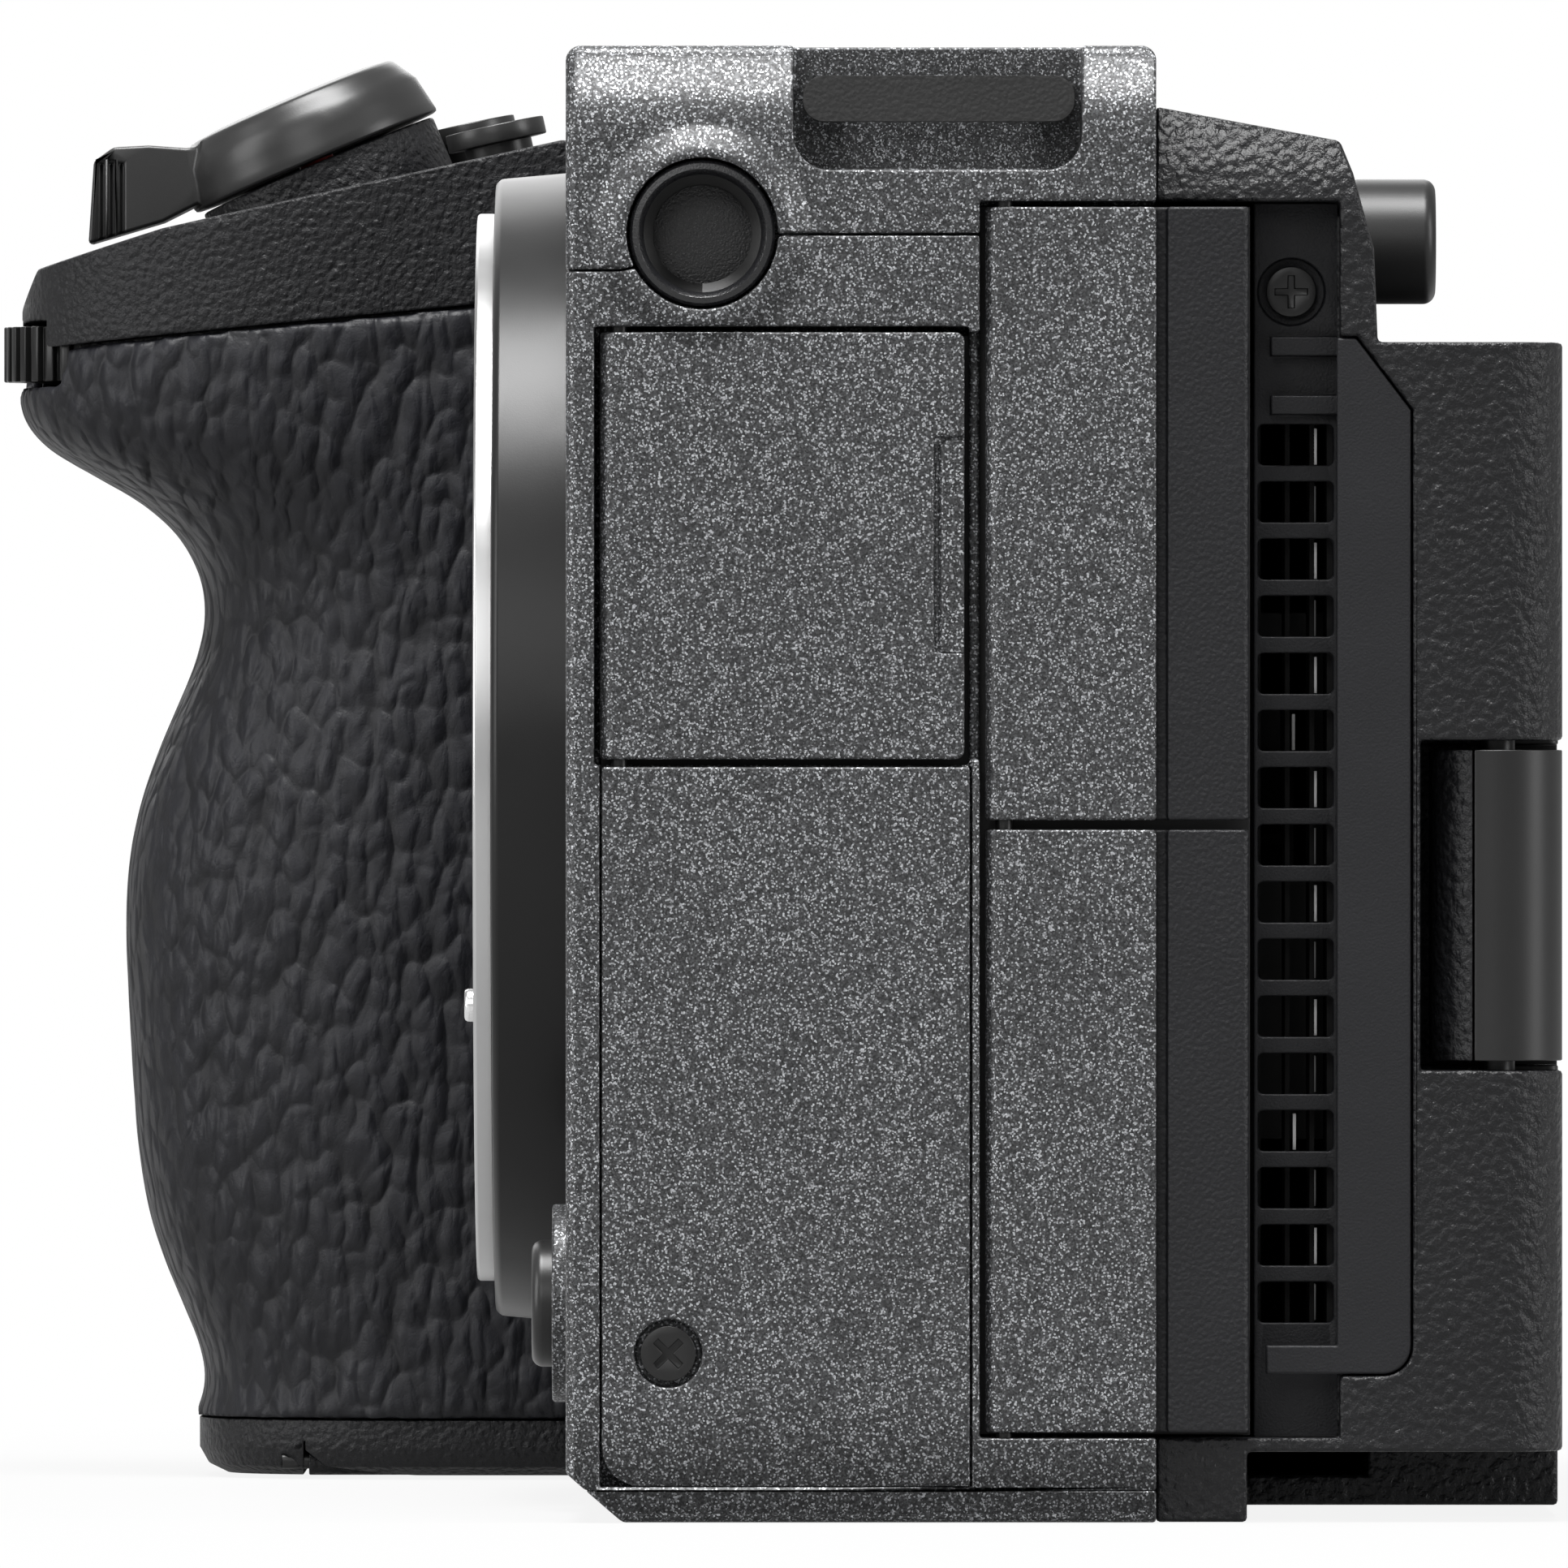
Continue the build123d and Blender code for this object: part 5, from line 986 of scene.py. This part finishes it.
class CAMERA_OT_grip(Operator):
    """Hand grip: leatherette skin, housing, foot and top cover"""

    bl_idname = "camera_kit.grip"
    bl_label = "Hand grip"

    def execute(self, context):
        edges = context.scene.camera_edges
        soften("grip_shell", "grip_plastic", edges.small)
        soften("grip_top_cover", "grip_plastic", edges.housing)
        self.skin(context.scene.camera_leather)
        soften("battery_door", "grip_plastic", edges.small)
        soften("battery_latch", "smooth_black", edges.small)
        soften("card_door", "grip_plastic", edges.small)
        dress("battery", "smooth_black")
        dress("card_slot", "dark_steel")
        return {"FINISHED"}

    @staticmethod
    def skin(leather):
        """Leatherette as an even fine mesh with soft unevenness of its own."""
        node = "grip_leather"
        mesh = smooth_mesh("grip_skin", joined_copy(node))
        piece = add_piece("grip_skin", mesh, "leather", "camera", (node,))
        remesh = piece.modifiers.new("even_mesh", "REMESH")
        remesh.mode = "VOXEL"
        remesh.voxel_size = leather.voxel
        remesh.use_smooth_shade = True
        relax = piece.modifiers.new("relax", "SMOOTH")
        relax.factor = 0.5
        relax.iterations = 6
        bpy.context.view_layer.update()
        evaluated = piece.evaluated_get(bpy.context.evaluated_depsgraph_get())
        shaped = bpy.data.meshes.new_from_object(evaluated)
        piece.modifiers.clear()
        piece.data = shaped
        # Coarse and fine swells, stretched a little as the pebbles are
        normals = [vert.normal.copy() for vert in shaped.vertices]
        for vert, normal in zip(shaped.vertices, normals):
            spot = vert.co / leather.grain
            stretched = Vector((spot.x, spot.y * 1.15, spot.z * 0.72))
            height = noise.noise(stretched) * 0.6 + noise.noise(stretched * 0.45) * 0.5
            vert.co += normal * leather.depth * 0.5 * height
        shaped.update()


class CAMERA_OT_controls(Operator):
    """Zoom lever, record button, switches, dials, joystick and buttons"""

    bl_idname = "camera_kit.controls"
    bl_label = "Controls"

    def execute(self, context):
        edges = context.scene.camera_edges
        soften("zoom_lever", "button_black", 0.2 * MM)
        soften("record_button", "red", edges.small)
        soften("power_switch", "button_black", 0.12 * MM)
        for node in ("iris_button", "gain_button", "centre_button", "menu_button", "function_button",
                     "playback_button", "delete_button"):
            soften(node, "button_black", edges.small)
        for node in ("front_dial", "rear_dial"):
            soften(node, "dial_black", edges.small)
        soften("control_wheel", "dial_black", edges.small, clamp=True)
        soften("stick_cap", "smooth_black", 0.1 * MM)
        dress("stick_stem", "dark_steel")
        return {"FINISHED"}


class CAMERA_OT_ports(Operator):
    """Connector panel with its jacks and sockets"""

    bl_idname = "camera_kit.ports"
    bl_label = "Ports"

    def execute(self, context):
        edges = context.scene.camera_edges
        soften("connector_panel", "smooth_black", edges.small)
        soften("audio_jacks", "dark_steel", edges.small, clamp=True)
        soften("data_sockets", "fin_metal", 0.04 * MM)
        return {"FINISHED"}


class CAMERA_OT_inside(Operator):
    """Sensor, shutter and board seen through the lens opening"""

    bl_idname = "camera_kit.inside"
    bl_label = "Sensor and shutter"

    def execute(self, context):
        dress("shutter_unit", "shutter_black")
        dress("sensor_frame", "shutter_black")
        dress("sensor_glass", "sensor")
        dress("main_board", "board")
        return {"FINISHED"}


class CAMERA_OT_stage(Operator):
    """Floor, soft lamps and the photograph's camera"""

    bl_idname = "camera_kit.stage"
    bl_label = "Stage"

    def execute(self, context):
        stage = context.scene.camera_stage
        context.scene.view_settings.view_transform = "Standard"
        self.surroundings(context.scene, stage)
        self.floor(stage)
        self.lamps(stage)
        self.photo_camera(context.scene, stage)
        return {"FINISHED"}

    @staticmethod
    def surroundings(scene, stage):
        """White for the camera and through glass, paler in reflections, and a plain grey level as light."""
        scene.world = bpy.data.worlds.new("studio")
        shader = Shader("studio", scene.world)
        light = shader.node("Background", {}, {"Color": WHITE, "Strength": stage.ambient})
        seen = shader.node("Background", {}, {"Color": WHITE})
        surface = shader.node("MixShader", {}, {0: shader.background(stage.mirrored), 1: light, 2: seen})
        shader.node("OutputWorld", {}, {"Surface": surface})

    @staticmethod
    def floor(stage):
        """Grey floor that is lifted to white and keeps a little of the shadow near the camera."""
        mesh = bpy.data.meshes.new("floor")
        bm = bmesh.new()
        bmesh.ops.create_grid(bm, x_segments=8, y_segments=8, size=3.0)
        bm.to_mesh(mesh)
        bm.free()
        floor = bpy.data.objects.new("floor", mesh)
        floor.location.z = -0.02 * MM
        bpy.context.scene.collection.objects.link(floor)
        # Near the camera the floor keeps 12 % of its own shading, and from 20 cm on it is white
        shader = Shader("floor_paper")
        paper = shader.node("BsdfDiffuse", {}, {"Color": (*grey(0.3), 1.0)})
        white = shader.node("Emission", {}, {"Color": WHITE, "Strength": 1.0})
        lift = shader.fade(shader.length(shader.place()), 0.05, 0.2, 0.88, 1.0)
        shown = shader.background(stage.mirrored) * lift
        surface = shader.node("MixShader", {}, {0: shown, 1: paper, 2: white})
        shader.node("OutputMaterial", {}, {"Surface": surface})
        mesh.materials.append(shader.owner)

    @staticmethod
    def lamps(stage):
        """Five soft boxes: front, rear, above, and on either side of the camera."""
        target = Vector((0.0, 0.0, 0.04))
        # Name, place, width, height and power
        boxes = [
            ("lamp_front", (0.30, -0.80, 0.25), 0.40, 0.70, 5.0),
            ("lamp_rear", (0.30, 0.80, 0.25), 0.30, 0.70, 5.0),
            ("lamp_top", (0.17, -0.05, 0.80), 0.50, 0.35, 18.0),
            ("lamp_side", (1.20, -0.30, 0.55), 0.60, 0.60, 3.5),
            ("lamp_far", (-0.80, -0.10, 0.45), 0.60, 0.60, 2.5),
        ]
        for name, place, width, height, power in boxes:
            light = bpy.data.lights.new(name, "AREA")
            light.shape = "RECTANGLE"
            light.size = width
            light.size_y = height
            light.energy = power * stage.lamp
            lamp = bpy.data.objects.new(name, light)
            lamp.location = place
            lamp.rotation_euler = (target - lamp.location).to_track_quat("-Z", "Y").to_euler()
            bpy.context.scene.collection.objects.link(lamp)

    @staticmethod
    def photo_camera(scene, stage):
        """Long lens square on the side with the doors."""
        lens = bpy.data.cameras.new("photo_camera")
        lens.sensor_width = 36.0
        lens.lens = stage.focal
        lens.clip_end = 20.0
        camera = bpy.data.objects.new("photo_camera", lens)
        camera.location = (stage.distance, 0.0, stage.eye_height)
        camera.rotation_euler = (radians(90), 0.0, radians(90))
        scene.collection.objects.link(camera)
        scene.camera = camera


OPERATORS = (
    CAMERA_OT_housing,
    CAMERA_OT_inserts,
    CAMERA_OT_mount,
    CAMERA_OT_doors,
    CAMERA_OT_lugs,
    CAMERA_OT_rear,
    CAMERA_OT_monitor,
    CAMERA_OT_grip,
    CAMERA_OT_controls,
    CAMERA_OT_ports,
    CAMERA_OT_inside,
    CAMERA_OT_stage,
)
SETTINGS = {
    "camera_paint": PaintSettings,
    "camera_plastic": PlasticSettings,
    "camera_leather": LeatherSettings,
    "camera_edges": EdgeSettings,
    "camera_thread": ThreadSettings,
    "camera_vent": VentSettings,
    "camera_stage": StageSettings,
}


class CAMERA_PT_looks(Panel):
    """Lists the camera's pieces and their settings"""

    bl_label = "Cinema Camera"
    bl_idname = "CAMERA_PT_looks"
    bl_space_type = "VIEW_3D"
    bl_region_type = "UI"
    bl_category = "Camera"

    def draw(self, context):
        for operator in OPERATORS:
            self.layout.operator(operator.bl_idname, text=operator.bl_label)
        for name, group in SETTINGS.items():
            box = self.layout.box()
            settings = getattr(context.scene, name)
            for key in group.__annotations__:
                box.prop(settings, key)


def register():
    for cls in (*SETTINGS.values(), *OPERATORS, CAMERA_PT_looks):
        bpy.utils.register_class(cls)
    for name, group in SETTINGS.items():
        setattr(bpy.types.Scene, name, PointerProperty(type=group))


def unregister():
    for name in SETTINGS:
        delattr(bpy.types.Scene, name)
    for cls in (CAMERA_PT_looks, *OPERATORS, *SETTINGS.values()):
        bpy.utils.unregister_class(cls)


def main():
    register()
    for operator in OPERATORS:
        group, name = operator.bl_idname.split(".")
        getattr(getattr(bpy.ops, group), name)()


if __name__ == "__main__":
    main()
